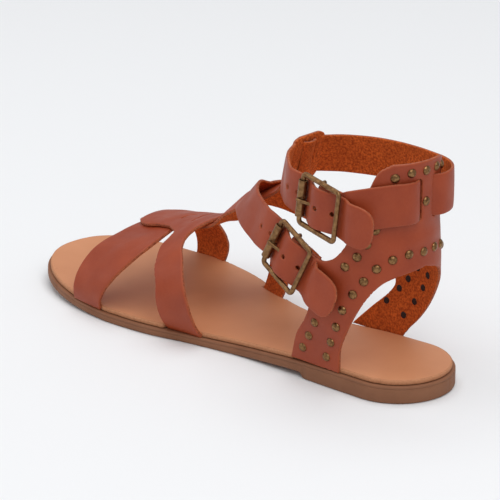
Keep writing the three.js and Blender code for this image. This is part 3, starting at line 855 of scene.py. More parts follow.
@dataclass(frozen=True)
class AgedBrass(Finish):
    """Die-cast brass plate, tumbled and antiqued: dull metal with brown patina in patches."""

    patch: float = 2.6

    def dress(self, tree: bpy.types.NodeTree, shader: bpy.types.Node) -> None:
        """Gives the shader its colour, gloss and relief."""
        cloud = self.mapped(tree, self.noise(tree, self.patch, 5), (0.36, 0.62))
        self.dyed(tree, shader, cloud)
        self.tune(shader, Metallic=1.0)
        gloss = self.mapped(tree, cloud, (0, 1), (self.roughness + 0.12, self.roughness))
        tree.links.new(gloss, shader.inputs["Roughness"])
        dents = self.bump(tree, self.noise(tree, 1.4, 2), 0.1, 0.16)
        tree.links.new(dents, shader.inputs["Normal"])


@dataclass(frozen=True)
class PlainStuff(Finish):
    """Waxed thread, oxidised rivet ends and the studio floor: matt, faintly uneven."""

    def dress(self, tree: bpy.types.NodeTree, shader: bpy.types.Node) -> None:
        """Gives the shader its colour, gloss and relief."""
        cloud = self.noise(tree, 0.8, 3)
        self.dyed(tree, shader, cloud)


TAN = GrainLeather("cowhide_grain_tan", "#9A3F1E", "#8E371A", 0.48)
LINING = Suede("split_suede_lining_rust", "#DA6A2C", "#9A4018", 0.95)
EDGE = CutEdge("cut_edge_tan", "#B0603A", "#7A3A22", 0.75)
SOCK = SockLeather("coated_insole_tan", "#CB8A61", "#C4835A", 0.5)
SOCK_EDGE = CutEdge("insole_cut_edge", "#BE835C", "#B07550", 0.7)
RUBBER = MouldedRubber("moulded_rubber_brown", "#8C5D41", "#7F5237", 0.66)
BRASS = AgedBrass("antique_brass_plate", "#93704B", "#755538", 0.36, 1.8)
STUD_BRASS = AgedBrass("antique_brass_stud", "#95714A", "#6A4B2F", 0.3, 1.1)
RIVET = PlainStuff("oxidised_rivet_end", "#2C180F", "#1C0F09", 0.85)
THREAD = PlainStuff("waxed_thread_brown", "#54200F", "#3E170B", 0.7)


# ---- making pieces ----


def make_object(name: str, bm: BMesh, finishes: Sequence[Finish], smooth_faces: bool = True) -> Any:
    """Turns a mesh in millimetres into a piece in metres with its finishes.

    Args:
        name: the piece's name.
        bm: its mesh, which is used up.
        finishes: its finishes in the order of its faces' material numbers.
        smooth_faces: whether its faces are shaded smooth.

    Returns:
        The piece.
    """
    bmesh.ops.scale(bm, vec=(MM, MM, MM), verts=bm.verts[:])
    for f in bm.faces:
        f.smooth = smooth_faces
    mesh = bpy.data.meshes.new(name)
    bm.to_mesh(mesh)
    bm.free()
    for finish in finishes:
        mesh.materials.append(finish.material())
    piece = bpy.data.objects.new(name, mesh)
    bpy.context.scene.collection.objects.link(piece)
    return piece


def fit(piece: Any, slot: str, *nodes: str) -> Any:
    """Lets a piece ride on the shoe and names the CAD nodes that it stands for."""
    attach(piece, "root")
    if nodes:
        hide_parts(*nodes)
    LOG.info("%s: %d faces, stands for %s", piece.name, len(piece.data.polygons), nodes or "-")
    return piece


def leather_piece(name: str, bm: BMesh, thickness: float) -> Any:
    """A leather piece from its middle layer: grain outside, suede inside and cut edges.

    Args:
        name: the piece's name.
        bm: the middle layer, its faces pointing out.
        thickness: the leather's thickness in mm.

    Returns:
        The piece.
    """
    piece = make_object(name, bm, (TAN, LINING, EDGE))
    wall = piece.modifiers.new("wall", "SOLIDIFY")
    wall.thickness = thickness * MM
    wall.offset = 0
    wall.use_even_offset = False
    wall.material_offset = 1
    wall.material_offset_rim = 2
    wall.vertex_group = piece.vertex_groups.new(name="thickness").name
    wall.thickness_vertex_group = 0
    return piece


def extruded(bm: BMesh, ring: Sequence[BMEdge]) -> tuple[list[BMVert], list[BMEdge]]:
    """Extrudes a ring of edges in place.

    Args:
        bm: the mesh that they are in.
        ring: the edges.

    Returns:
        The new points, and the new ring of edges between them.
    """
    made = bmesh.ops.extrude_edge_only(bm, edges=ring)["geom"]
    verts = [g for g in made if isinstance(g, BMVert)]
    fresh = set(verts)
    return verts, [g for g in made if isinstance(g, BMEdge) and set(g.verts) <= fresh]


def sweep(bm: BMesh, points: Sequence[Vector], radii: Sequence[float], sides: int = 10) -> None:
    """Extrudes a round section along a line and closes both ends.

    Args:
        bm: the mesh that it is added to.
        points: the line.
        radii: the section's radius at each point.
        sides: how many sides the section has.
    """
    side = Vector((0, 1, 0))
    ring: list[BMVert] = bmesh.ops.create_circle(bm, segments=sides, radius=1)["verts"]
    turns = [math.atan2(v.co.y, v.co.x) for v in ring]
    first = ring
    for k, (point, radius) in enumerate(zip(points, radii)):
        way = (points[min(k + 1, len(points) - 1)] - points[max(k - 1, 0)]).normalized()
        across = (side - way * side.dot(way)).normalized()
        up = way.cross(across)
        if k:
            loop = [e for e in bm.edges if e.verts[0] in ring and e.verts[1] in ring]
            made = bmesh.ops.extrude_edge_only(bm, edges=loop)["geom"]
            new = {g for g in made if isinstance(g, BMVert)}
            sides_of = ([e.other_vert(v) for e in v.link_edges] for v in ring)
            ring = [next(v for v in others if v in new) for others in sides_of]
        for v, turn in zip(ring, turns):
            v.co = point + (across * math.cos(turn) + up * math.sin(turn)) * radius
    for end in (first, ring):
        bmesh.ops.contextual_create(bm, geom=end)
    bmesh.ops.recalc_face_normals(bm, faces=bm.faces[:])


@dataclass
class Stitching:
    """A row of small thread stitches lying on a surface."""

    length: float = 1.5
    spacing: float = 2.6
    radius: float = 0.3

    def sew(self, bm: BMesh, surface: Surface, start: Point, end: Point, lift: float) -> None:
        """Sews one row.

        Args:
            bm: the mesh that the stitches are added to.
            surface: what they lie on.
            start: where the row begins, in the surface's own measures.
            end: where it ends.
            lift: how far the leather's face is from the surface.
        """
        a, b = Vector(start), Vector(end)
        count = max(1, round((b - a).length / self.spacing))
        for k in range(count):
            spot = a.lerp(b, (k + 0.5) / count)
            way = (b - a).normalized() * self.length / 2
            tips = [surface.place(*(spot + way * t), lift + sink) for t, sink in
                    ((-1, -0.25), (-0.5, 0.1), (0.5, 0.1), (1, -0.25))]
            piece = bmesh.new()
            sweep(piece, [tip for tip, _ in tips], [self.radius] * 4, 6)
            join(bm, piece)


def join(bm: BMesh, other: BMesh) -> None:
    """Adds one mesh to another and frees it."""
    mesh = bpy.data.meshes.new("joined")
    other.to_mesh(mesh)
    other.free()
    bm.from_mesh(mesh)
    bpy.data.meshes.remove(mesh)


# ---- sole ----


def sole_half(side: Side, x: float, inset: float = 0.0) -> float:
    """Half width of the outsole, or of an outline inside it, round heel and toe included."""
    full = column(SOLE_ROWS, side.name.lower(), x) - inset
    if x < 0:
        return full * math.sqrt(max(0.0, 1 - (x / (HEEL_RADIUS - inset)) ** 2))
    along = min(1.0, max(0.0, (x - TOE_START) / (TOE_LENGTH - inset)))
    power = TOE_POWER[side]
    return full * (1 - along**power) ** (1 / power)


def sole_spring(x: float) -> float:
    """How far the toe spring lifts the sole at one place."""
    return TOE_SPRING * max(0.0, (x - SPRING_START) / (TOE_END - SPRING_START)) ** 2


def sole_top(x: float) -> float:
    """Top of the outsole at one place."""
    slope = smooth((x - SEAT_END) / (BALL_START - SEAT_END))
    return HEEL_TOP + (FOREPART_TOP - HEEL_TOP) * slope + sole_spring(x)


def sole_bottom(x: float) -> float:
    """Underside of the outsole at one place, with the step of the heel breast."""
    if x <= HEEL_BREAST + 0.02:
        return 0.0
    lift = 1 - smooth((x - HEEL_BREAST) / (WAIST_END - HEEL_BREAST))
    return WAIST_LIFT * lift + sole_spring(x)


class Datum(Enum):
    """Which face of a slab a height is measured from."""

    TOP = "top"
    BOTTOM = "bottom"


class ProfileStep(NamedTuple):
    """One ring of a slab's edge: how far in from its widest outline, and how far from a face."""

    inset: float
    datum: Datum
    distance: float


@dataclass
class Slab:
    """A sole layer: a plan outline with a shaped edge between two curved faces."""

    outline: Loop
    steps: Sequence[ProfileStep]
    top: Callable[[float], float]
    bottom: Callable[[float], float]
    crown: Callable[[float, float], float] = lambda x, y: 0.0

    def height(self, x: float, step: ProfileStep) -> float:
        """Height of one ring of the edge at a place."""
        if step.datum is Datum.TOP:
            return self.top(x) - step.distance
        return self.bottom(x) + step.distance

    def build(self) -> BMesh:
        """Makes the top face, the edge ring by ring, and the underside."""
        first = self.steps[0]
        across, along = SLAB_GRID
        lines = [*between(-HEEL_RADIUS, TOE_END, across), HEEL_BREAST, HEEL_BREAST + BREAST_STEP]
        bm = Panel(self.outline, [], lines, between(-45, 45, along)).cut()
        base = bm.verts.layers.float_vector.new("base")
        away = bm.verts.layers.float_vector.new("away")
        for v in bm.verts:
            v[base] = v.co.copy()
        ring = [e for e in bm.edges if e.is_boundary]
        for v in {v for e in ring for v in e.verts}:
            near = [e for e in v.link_edges if e.is_boundary]
            ways = []
            for e in near:
                way = (e.other_vert(v).co - v.co).normalized()
                normal = Vector((way.y, -way.x, 0))
                middle = e.link_faces[0].calc_center_median() - v.co
                ways.append(-normal if normal.dot(middle) > 0 else normal)
            v[away] = (ways[0] + ways[-1]).normalized()
        for v in bm.verts:
            v.co.z = self.height(v.co.x, first) + self.crown(v.co.x, v.co.y)
        for step in self.steps[1:]:
            verts, ring = extruded(bm, ring)
            for v in verts:
                v.co = v[base] + v[away] * (first.inset - step.inset)
                v.co.z = self.height(v[base].x, step)
            for f in {f for e in ring for f in e.link_faces}:
                f.material_index = 1
        made = bmesh.ops.triangle_fill(bm, use_beauty=True, edges=ring, normal=(0, 0, -1))["geom"]
        for at in lines:
            faces = [g for g in made if isinstance(g, BMFace)]
            geom = faces + self.ends(faces)
            cut = bmesh.ops.bisect_plane(
                bm, geom=geom, dist=1e-4, plane_co=(at, 0, 0), plane_no=(1, 0, 0)
            )
            made = [g for g in cut["geom"] if isinstance(g, BMFace)]
        for f in made:
            f.material_index = 1
            for v in f.verts:
                v.co.z = self.bottom(v.co.x)
        bmesh.ops.recalc_face_normals(bm, faces=bm.faces[:])
        return bm

    @staticmethod
    def ends(faces: Iterable[Any]) -> list[Any]:
        """The edges and points of some faces."""
        return list({e for f in faces for e in f.edges} | {v for f in faces for v in f.verts})


class FootSpan(NamedTuple):
    """Where the foot of a leg passes down beside the footbed."""

    start: float
    end: float
    side: Side


@dataclass
class Sole:
    """Outsole and footbed."""

    ankle: AnkleForm
    forefoot: ForefootForm
    feet: Sequence[FootSpan] = (
        FootSpan(11.4, 41.6, Side.LATERAL),
        FootSpan(16.4, 49.4, Side.MEDIAL),
        FootSpan(95.5, 117.0, Side.LATERAL),
        FootSpan(95.5, 117.0, Side.MEDIAL),
        FootSpan(154.8, 175.9, Side.LATERAL),
        FootSpan(154.8, 175.9, Side.MEDIAL),
    )

    def leg_inner_face(self, x: float, side: Side) -> float:
        """How far out the inner face of a leg is where it meets the footbed."""
        height = sole_top(x) + WALL_HEIGHT
        if x < FORM_JOIN:
            half = self.ankle.width(x, height, side)
        else:
            half = self.forefoot.at_height(x, height, side)[0]
        return half - LEATHER / 2 - GAP

    def plan(self, inset: float, notched: bool) -> Loop:
        """The sole's outline from above.

        Args:
            inset: how far inside the outsole's edge it runs.
            notched: whether it leaves room for the legs' feet.

        Returns:
            The outline, from the heel along the outer side and back along the inner side.
        """
        low, high = -HEEL_RADIUS + inset, TOE_END - inset
        turns = [math.pi * (k + END_SHARE) / (SOLE_STATIONS + 2 * END_SHARE)
                 for k in range(SOLE_STATIONS + 1)]
        places = [low + (high - low) * (1 - math.cos(t)) / 2 for t in turns]
        halves: list[Loop] = []
        for side in Side:
            stations = {*places}
            spans = [foot for foot in self.feet if notched and foot.side is side]
            for foot in spans:
                stations |= {foot.start, foot.start + NOTCH_STEP, foot.end - NOTCH_STEP, foot.end}
            if not notched:
                stations = {x for x in stations if abs(x - HEEL_BREAST) > 1}
                stations |= {HEEL_BREAST, HEEL_BREAST + BREAST_STEP}
            edge = []
            for x in sorted(stations):
                half = max(END_HALF, sole_half(side, x, inset))
                if any(foot.start + 0.2 < x < foot.end - 0.2 for foot in spans):
                    half = min(half, self.leg_inner_face(x, side))
                edge.append((x, side.value * half))
            halves.append(edge)
        return halves[0] + halves[1][::-1]

    def make_outsole(self) -> Any:
        """The moulded outsole, with a fine groove under its rim and a soft lower edge."""
        steps = table(
            ProfileStep,
            (0.7, Datum.TOP, 0.0), (0.25, Datum.TOP, 0.12), (0.05, Datum.TOP, 0.45),
            (0.05, Datum.TOP, 1.25), (0.3, Datum.TOP, 1.45), (0.05, Datum.TOP, 1.65),
            (0.0, Datum.TOP, 2.0), (0.0, Datum.BOTTOM, 1.0), (0.25, Datum.BOTTOM, 0.45),
            (0.7, Datum.BOTTOM, 0.12), (1.2, Datum.BOTTOM, 0.0),
        )
        bm = Slab(self.plan(steps[0].inset, False), steps, sole_top, sole_bottom).build()
        piece = make_object("outsole_rubber", bm, (RUBBER, RUBBER))
        return fit(piece, "outsole", "outsole")

    def make_footbed(self) -> Any:
        """The covered footbed, rounded at its rim and dished a little under the heel."""

        def low(x: float) -> float:
            """Underside of the footbed."""
            return sole_top(x) + GAP

        def dish(x: float, y: float) -> float:
            """A soft hollow under the heel and the ball."""
            heel = math.exp(-(((x - 2) / 20) ** 2) - (y / 15) ** 2)
            ball = math.exp(-(((x - 148) / 34) ** 2) - ((y + 2) / 26) ** 2)
            return -0.35 * heel - 0.4 * ball

        steps = table(
            ProfileStep,
            (0.75, Datum.TOP, 0.0), (0.3, Datum.TOP, 0.1), (0.08, Datum.TOP, 0.3),
            (0.0, Datum.TOP, 0.65), (0.0, Datum.BOTTOM, 0.2), (0.25, Datum.BOTTOM, 0.0),
        )
        outline = self.plan(FOOTBED_INSET + steps[0].inset, True)
        bm = Slab(outline, steps, lambda x: low(x) + FOOTBED, low, dish).build()
        return fit(make_object("footbed_cover", bm, (SOCK, SOCK_EDGE)), "footbed", "footbed")

    def build(self) -> list[Any]:
        """Makes both layers."""
        return [self.make_outsole(), self.make_footbed()]


# ---- buckles ----


@dataclass
class Buckle:
    """A roller buckle: a round-cornered frame over a centre bar, a prong and two rollers."""

    name: str
    centre: Vector
    tail: Vector
    up: Vector
    length: float = 26.6
    width: float = 26.5
    wire: float = 2.5
    corner: float = 3.0
    bar: float = 0.9
    lift: float = 2.3
    tilt: float = 1.5
    roller: float = 2.15
    roller_bore: float = 1.72
    roller_rim: float = 2.02  # outer radius at the very ends, where the lip rounds over
    roller_lip: float = 0.45
    roller_length: float = 8.8
    prong: float = 0.85
    eye: float = 1.9
    eye_width: float = 2.6

    @property
    def matrix(self) -> Matrix:
        """Where the buckle lies: X along the strap to its tail, Y across it and Z out."""
        along = self.tail.normalized()
        across = (self.up - along * self.up.dot(along)).normalized()
        turn = Matrix((along, across, along.cross(across))).transposed().to_4x4()
        return Matrix.Translation(self.centre) @ turn

    @property
    def lean(self) -> Matrix:
        """How the frame lies over its bar, its front side lower than its rear side."""
        angle = math.atan2(2 * self.tilt, self.length - self.wire)
        return Matrix.Translation((0, 0, self.lift)) @ Matrix.Rotation(-angle, 4, "Y")

    @property
    def front(self) -> Vector:
        """Middle of the frame's front side."""
        return self.lean @ Vector((-(self.length - self.wire) / 2, 0, 0))

    def point(self, s: float, h: float, across: float = 0.0) -> Vector:
        """A point given in the buckle's own directions."""
        return self.matrix @ Vector((s, across, h))

    def frame_mesh(self) -> BMesh:
        """The frame: one round section led round four sides and four corners, and its bar."""
        bm = bmesh.new()
        half_x, half_y = (self.length - self.wire) / 2, (self.width - self.wire) / 2
        bend = self.corner - self.wire / 2
        made = bmesh.ops.create_circle(bm, segments=12, radius=self.wire / 2)["verts"]
        bmesh.ops.rotate(bm, verts=made, matrix=Matrix.Rotation(math.pi / 2, 3, "X"))
        bmesh.ops.scale(bm, verts=made, vec=(1, 1, 0.9))
        bmesh.ops.translate(bm, verts=made, vec=(half_x, -half_y + bend, 0))
        ring = bm.edges[:]
        ways = [Vector((0, 1, 0)), Vector((-1, 0, 0)), Vector((0, -1, 0)), Vector((1, 0, 0))]
        sides = [2 * (half_y - bend), 2 * (half_x - bend)] * 2
        at = Vector((half_x, -half_y + bend, 0))
        for way, side in zip(ways, sides):
            for _ in range(4):
                verts, ring = extruded(bm, ring)
                bmesh.ops.translate(bm, verts=verts, vec=way * side / 4)
            at += way * side
            inward = Vector((-way.y, way.x, 0))
            turned = bmesh.ops.spin(
                bm,
                geom=ring,
                cent=at + inward * bend,
                axis=(0, 0, 1),
                angle=math.pi / 2,
                steps=5,
            )["geom_last"]
            ring = [g for g in turned if isinstance(g, BMEdge)]
            at += (way + inward) * bend
        bmesh.ops.remove_doubles(bm, verts=bm.verts[:], dist=0.02)
        bmesh.ops.transform(bm, matrix=self.lean, verts=bm.verts[:])
        sweep(bm, [Vector((0, -half_y, 0)), Vector((0, half_y, 0))], [self.bar] * 2, 12)
        for side in (-1, 1):
            foot = Vector((0, side * half_y, -0.2))
            sweep(bm, [foot, foot + Vector((0, 0, self.lift + 0.2))], [self.bar * 1.15] * 2, 10)
        bmesh.ops.recalc_face_normals(bm, faces=bm.faces[:])
        return bm

    def roller_mesh(self, side: int) -> BMesh:
        """One roller sleeve with a rolled lip at each end."""
        bm = bmesh.new()
        start, end = side * GAP / 2, side * (GAP / 2 + self.roller_length)
        lip, waist = side * self.roller_lip, self.roller - 0.06
        rows = [
            (start, self.roller_bore),
            (start, self.roller_rim),
            (start + lip / 2, self.roller),
            (start + lip * 2, waist),
            (end - lip * 2, waist),
            (end - lip / 2, self.roller),
            (end, self.roller_rim),
            (end, self.roller_bore),
        ]
        profile = [bm.verts.new((r, y, 0)) for y, r in rows]
        edges = [bm.edges.new(pair) for pair in zip(profile, profile[1:] + profile[:1])]
        bmesh.ops.spin(
            bm,
            geom=profile + edges,
            cent=(0, 0, 0),
            axis=(0, 1, 0),
            angle=2 * math.pi,
            steps=20,
            use_merge=True,
        )
        bmesh.ops.remove_doubles(bm, verts=bm.verts[:], dist=0.01)
        bmesh.ops.translate(bm, verts=bm.verts[:], vec=(self.front.x, 0, self.front.z))
        bmesh.ops.recalc_face_normals(bm, faces=bm.faces[:])
        return bm

    def prong_mesh(self) -> BMesh:
        """The prong: an eye bent round the bar and a tongue tapering to its tip."""
        bm = bmesh.new()
        half = self.eye_width / 2
        eye_turns = [math.radians(a) for a in range(40, 371, 22)]
        middle = (self.bar + 0.25 + self.eye) / 2
        circle = [Vector((math.cos(a) * middle, 0, math.sin(a) * middle)) for a in eye_turns]
        for shift in (-half / 2, 0.0, half / 2):
            sweep(bm, [p + Vector((0, shift, 0)) for p in circle], [0.42] * len(circle), 8)
        top = self.front.z + self.roller + self.prong + 0.1
        ends = [(-1.0, 1.2), (-3.6, 2.3), (self.front.x + 3.4, top - 0.35)]
        ends += [(self.front.x + 0.9, top), (self.front.x - 0.5, top - 0.1)]
        line = run(ends, 0.7)
        radii = [self.prong * (1 - 0.28 * (k / len(line)) ** 2) for k in range(len(line))]
        radii[-1] *= 0.55
        sweep(bm, [Vector((x, 0, z)) for x, z in line], radii, 10)
        return bm

    def build(self) -> list[Any]:
        """Makes the buckle's four pieces in place."""
        pieces = []
        parts = {
            "buckle": self.frame_mesh(),
            "prong": self.prong_mesh(),
            "roller_top": self.roller_mesh(1),
            "roller_bottom": self.roller_mesh(-1),
        }
        for part, bm in parts.items():
            bmesh.ops.transform(bm, matrix=self.matrix, verts=bm.verts[:])
            piece = make_object(f"{self.name}_{part}_brass", bm, (BRASS,))
            if part.startswith("roller"):
                rim = piece.modifiers.new("edge", "BEVEL")
                rim.width, rim.segments, rim.limit_method = 0.1 * MM, 1, "ANGLE"
            pieces.append(fit(piece, "brass", f"{self.name}_{part}"))
        return pieces


UPPER_BUCKLE = Buckle(
    "upper", Vector((21, 29.8, 87.8)), Vector((-1, 0, -0.137)), Vector((-0.12, 0, 1))
)
LOWER_BUCKLE = Buckle(
    "lower", Vector((40.4, 29.6, 59)), Vector((-0.92, 0.08, -0.39)), Vector((-0.45, -0.12, 0.88))
)


# ---- straps ----

# The folded end: from its inner end, round the bar and back along the outside.
FOLD_TABLE = table(
    BendPoint,
    (14, -2.4), (9, -2.4), (4, -2.25), (0.6, -2.1), (-1.5, -1.5), (-2.1, 0), (-1.5, 1.5),
    (0.6, 2.1), (4, 0.95), (8, -0.4), (12, -0.6),
)
ARM_FOLD_TABLE = [*FOLD_TABLE[:-1], BendPoint(12, -0.85), BendPoint(18.5, -1.35)]

# The holed end: under the roller, up over the bar, under the rear side and out as the tail.
THREAD_TABLE = table(
    BendPoint,
    (-17, -2.3), (-13.4, -2.5), (-10.2, -1.9), (-6, 1.4), (-2.4, 3.6), (1, 4), (5.4, 2.95),
    (9.6, 1.6), (13.4, 1.4),
)

UPPER_ROUTE = table(
    RoutePoint,
    (3, 29.4, 89.4, 0), (-4, 24.6, 91.4, 0), (-10.4, 18, 92.6, 0), (-15.2, 10.4, 93, 0),
    (-15.1, 6.2, 93, 0), (-12.6, 2.6, 93, 0), (-12.4, -1, 93, 0), (-13.4, -5, 93, 0),
    (-15.8, -8.8, 93, 0), (-16, -13, 93, 0), (-12.4, -21, 93, 0), (-4, -28, 92.6, 0),
    (10, -32.6, 92, 0), (27, -33.8, 91.8, 2), (42, -32, 91.8, 5), (55, -27, 91.6, 9),
    (62.6, -22, 91.4, 13), (66.6, -18.4, 91.3, 15), (67.9, -15.6, 91.3, 16), (67, -13.2, 91.2, 16),
    (65.3, -11.2, 91.2, 16), (64.7, -9, 91.2, 16), (65.3, -6.8, 91.2, 16), (67, -4.8, 91.2, 16),
    (67.9, -2.4, 91.3, 16), (66.8, 0.8, 91.5, 15), (64, 5.4, 91.8, 13), (58.8, 13.6, 91.6, 10),
    (50.6, 21.6, 91, 6), (43.6, 26, 90.4, 2),
)
UPPER_TAIL = table(
    RoutePoint,
    (2.4, 33, 85, 0), (-4, 32.4, 84, 0), (-10.2, 30.6, 83.2, 0),
)

LOWER_ROUTE = table(
    RoutePoint,
    (31, -26.9, 47, -7), (42, -27, 51, -3), (54, -27.6, 54.8, 8), (68, -26.8, 59, 18),
    (81, -23.6, 62.6, 26), (90, -19, 65, 34), (94, -14.6, 66.2, 40), (96, -9, 67.2, 46),
    (95.4, -3, 68.4, 46), (91.6, 3.6, 69.2, 41), (84, 11.4, 68.4, 32), (73, 18.4, 67, 24),
    (62, 24, 66, 18),
)
LOWER_TAIL = table(
    RoutePoint,
    (23, 34.6, 51, 6), (15.4, 35.5, 48, 5), (8, 35.7, 45.2, 4),
)


def ankle_rows(table: Sequence[RoutePoint]) -> list[tuple[Vector, Vector]]:
    """Points and ways across for a strap round the ankle, tipped inwards by its lean."""
    rows = []
    for x, y, z, lean in table:
        inwards = Vector((ANKLE_AXIS - x, -y, 0)).normalized()
        tip = math.radians(lean)
        rows.append((Vector((x, y, z)), Vector((0, 0, math.cos(tip))) + inwards * math.sin(tip)))
    return rows


def buckle_rows(buckle: Buckle, table: Sequence[BendPoint]) -> list[tuple[Vector, Vector]]:
    """Points and ways across for a strap where it passes a buckle."""
    across = buckle.matrix.to_3x3() @ Vector((0, 1, 0))
    return [(buckle.point(s, h), across) for s, h in table]


@dataclass
class BuckledStrap:
    """A strap that passes a buckle: its line, its holes and its round tail."""

    name: str
    node: str
    buckle: Buckle
    rows: Sequence[tuple[Vector, Vector]]
    creases: Callable[["BuckledStrap", StrapPath], list[Crease]]
    folded: bool
    tail_round: float = 8.6  # how far back the tail's rounding begins
    hole: float = 1.15
    hole_places: Sequence[BendPoint] = (
        BendPoint(-25.5, -2.0),
        BendPoint(-16.6, -2.3),
        BendPoint(-8, -0.2),
        BendPoint(-0.4, 4.0),
        BendPoint(8.2, 2.2),
    )

    def outline(self, length: float) -> Loop:
        """The strap laid flat: a straight end, and a broad round tail."""
        half, back = STRAP_WIDTH / 2, length - self.tail_round
        turns = [math.pi * k / 18 for k in range(1, 18)]
        tip = [
            (
                back + self.tail_round * abs(math.sin(t)) ** 0.8,
                -half * math.copysign(abs(math.cos(t)) ** 0.72, math.cos(t)),
            )
            for t in turns
        ]
        return closed([(0, half), (0, -half)], [(back, -half)], tip, [(back, half)], [(0.5, half)])

    def lines(self, path: StrapPath) -> list[float]:
        """Places along the strap where it may bend, closer together round the buckle."""

        def close(u: float) -> bool:
            """Whether a place is near the buckle."""
            return (path.axes(u)[0] - self.buckle.centre).length < 14

        fine = [u for u in between(0, path.length, FINE_GRID) if close(u)]
        coarse = [u for u in between(0, path.length, GRID) if not close(u)]
        return sorted(fine + coarse)

    def build(self) -> list[Any]:
        """Makes the strap, and the stitches of its fold."""
        path = StrapPath(self.rows)
        places = [
            path.nearest(self.buckle.point(s, h), low=path.length / 2) for s, h in self.hole_places
        ]
        holes = [round_hole(u, 0, self.hole) for u in places]
        marks = relief(self.creases(self, path))

        def lift(u: float, v: float) -> float:
            """A slight crown across the strap, and its creases."""
            return -0.22 * (2 * v / STRAP_WIDTH) ** 4 + marks(u, v)

        v_lines = between(-STRAP_WIDTH / 2, STRAP_WIDTH / 2, GRID)[1:-1]
        panel = Panel(self.outline(path.length), holes, self.lines(path)[1:-1], v_lines)
        piece = leather_piece(self.name, panel.lay(path, lift), STRAP)
        pieces = [fit(piece, "leather", self.node)]
        if self.folded:
            pieces.append(self.sew_fold(path))
        return pieces

    def sew_fold(self, path: StrapPath) -> Any:
        """Two columns of stitches behind the buckle, and a short row along each edge."""
        past_bar = 20.0  # the fold's outer layer begins further along than this
        u = path.nearest(self.buckle.point(13.2, -0.5), past_bar, path.length / 2)
        bm = bmesh.new()
        face, edge = STRAP / 2, 8.6
        for place in (u + 1.4, u + 3.8):
            Stitching().sew(bm, path, (place, -edge), (place, edge), face)
        for row in (-edge, edge):
            Stitching().sew(bm, path, (u - 4.4, row), (u + 0.8, row), face)
        return fit(make_object(f"{self.name}_stitches", bm, (THREAD,)), "leather")


def upper_creases(strap: BuckledStrap, path: StrapPath) -> list[Crease]:
    """Creases of the ankle strap, from its buckle, its slits and its tail."""
    roller = path.nearest(strap.buckle.point(-14, -2.3))
    end = path.length
    slit_in = path.nearest(Vector((-13.9, 4.6, 93)))
    tab = path.nearest(Vector((64.7, -9, 91.2)))
    return table(
        Crease,
        (roller - 12, 2, 78, 22, 4.5, 0.35), (roller - 21, -2, 98, 22, 4.0, -0.3),
        (roller - 33, 1, 84, 24, 6.5, 0.3), (slit_in - 9, 0, 90, 20, 2.6, 0.4),
        (slit_in - 15, 2, 80, 22, 3.6, -0.3), (slit_in + 24, 0, 96, 22, 4.0, 0.35),
        (tab - 20, 0, 86, 24, 5.0, 0.3), (tab - 52, -1, 100, 24, 7.0, 0.35),
        (tab - 74, 1, 82, 24, 6.0, -0.3), (end - 11, 0, 90, 22, 4.5, -0.12),
    )


def lower_creases(strap: BuckledStrap, path: StrapPath) -> list[Crease]:
    """Creases of the instep strap, from its buckle, the bend over the instep and its tail."""
    roller = path.nearest(strap.buckle.point(-14, -2.3))
    bend = path.nearest(Vector((96, -9, 67.2)))
    end = path.length
    return table(
        Crease,
        (roller - 10, 1, 80, 22, 4.0, 0.35), (roller - 20, -2, 96, 24, 5.0, -0.35),
        (bend + 12, 2, 84, 20, 4.0, 0.3), (bend - 14, -1, 98, 22, 4.5, 0.3),
        (bend - 34, 0, 88, 24, 6.0, -0.3), (end - 10, 0, 92, 22, 4.5, -0.12),
    )


# ---- cuff ----

LATERAL_REAR = [(10.4, 20.2), (6, 31.2), (2.2, 39.9), (-1.8, 47.7), (-7, 55.4), (-14, 60.3)]
MEDIAL_REAR = [
    (14.2, 15.2), (9.4, 20.8), (4, 28.4), (-1.2, 37.6), (-6, 46), (-10.2, 53.4), (-14, 59.6),
]
LATERAL_FRONT = [
    (-8.6, 111), (-4.4, 107.6), (-1.2, 100), (2, 90), (5, 80), (8, 72), (13, 65.4), (19, 62.5),
    (23.8, 63.3),
]
MEDIAL_FRONT = [
    (-14.2, 110.8), (-12, 110), (-8.4, 107.8), (-4, 103.6), (-0.6, 97.6), (2.4, 89), (5.4, 80),
    (8.6, 72), (13, 65.4), (19, 62), (26, 60.2), (35.4, 60.6),
]
LATERAL_FOOT = [(28.8, 42), (27.7, 38.4), (31, 31), (37, 21.6), (41.2, LEG_FOOT)]
MEDIAL_FOOT = [(36, 40), (28, 38), (25.6, 34.4), (29, 28.4), (37.6, 20), (48.4, LEG_FOOT)]
LATERAL_ARM_LOW = (31.9, 44.2)  # lower corner of each arm's end
MEDIAL_ARM_LOW = (44.2, 41.6)
CUFF_BACK_LOW = 61.0
CUFF_BACK_TOP = 111.0

# Studs by distance round from the back and height: down the back's middle, on the outer side and on
# the inner side.
CENTRE_STUDS = [(0.6, 91.8), (1.0, 106.5), (1.4, 68.0)]
LATERAL_STUDS = [
    (16.5, 104.9), (9.0, 106.6), (24.8, 80.6), (28.6, 73.8), (32.9, 67.6), (38.6, 62.2),
    (9.6, 68.4), (17.2, 66.6), (24.3, 62.6), (30.0, 56.4), (35.2, 49.6),
    (51.1, 40.2), (40.2, 41.4), (56.6, 31.4), (44.0, 32.5), (61.3, 23.4), (47.8, 23.8),
    (65.4, 16.2), (51.0, 15.4),
]
MEDIAL_STUDS = [
    (-6.8, 106.4), (-14.4, 104.6), (-24.8, 80.6), (-28.6, 73.6), (-33.2, 67.4), (-39.4, 62.4),
    (-6.6, 68.0), (-14.4, 66.8), (-21.8, 63.6), (-28.2, 58.0), (-33.4, 51.4),
    (-43.0, 45.0), (-34.4, 44.0), (-48.6, 38.1), (-38.1, 36.7), (-53.5, 32.2), (-43.1, 28.5),
    (-59.8, 24.7), (-48.3, 20.5),
]


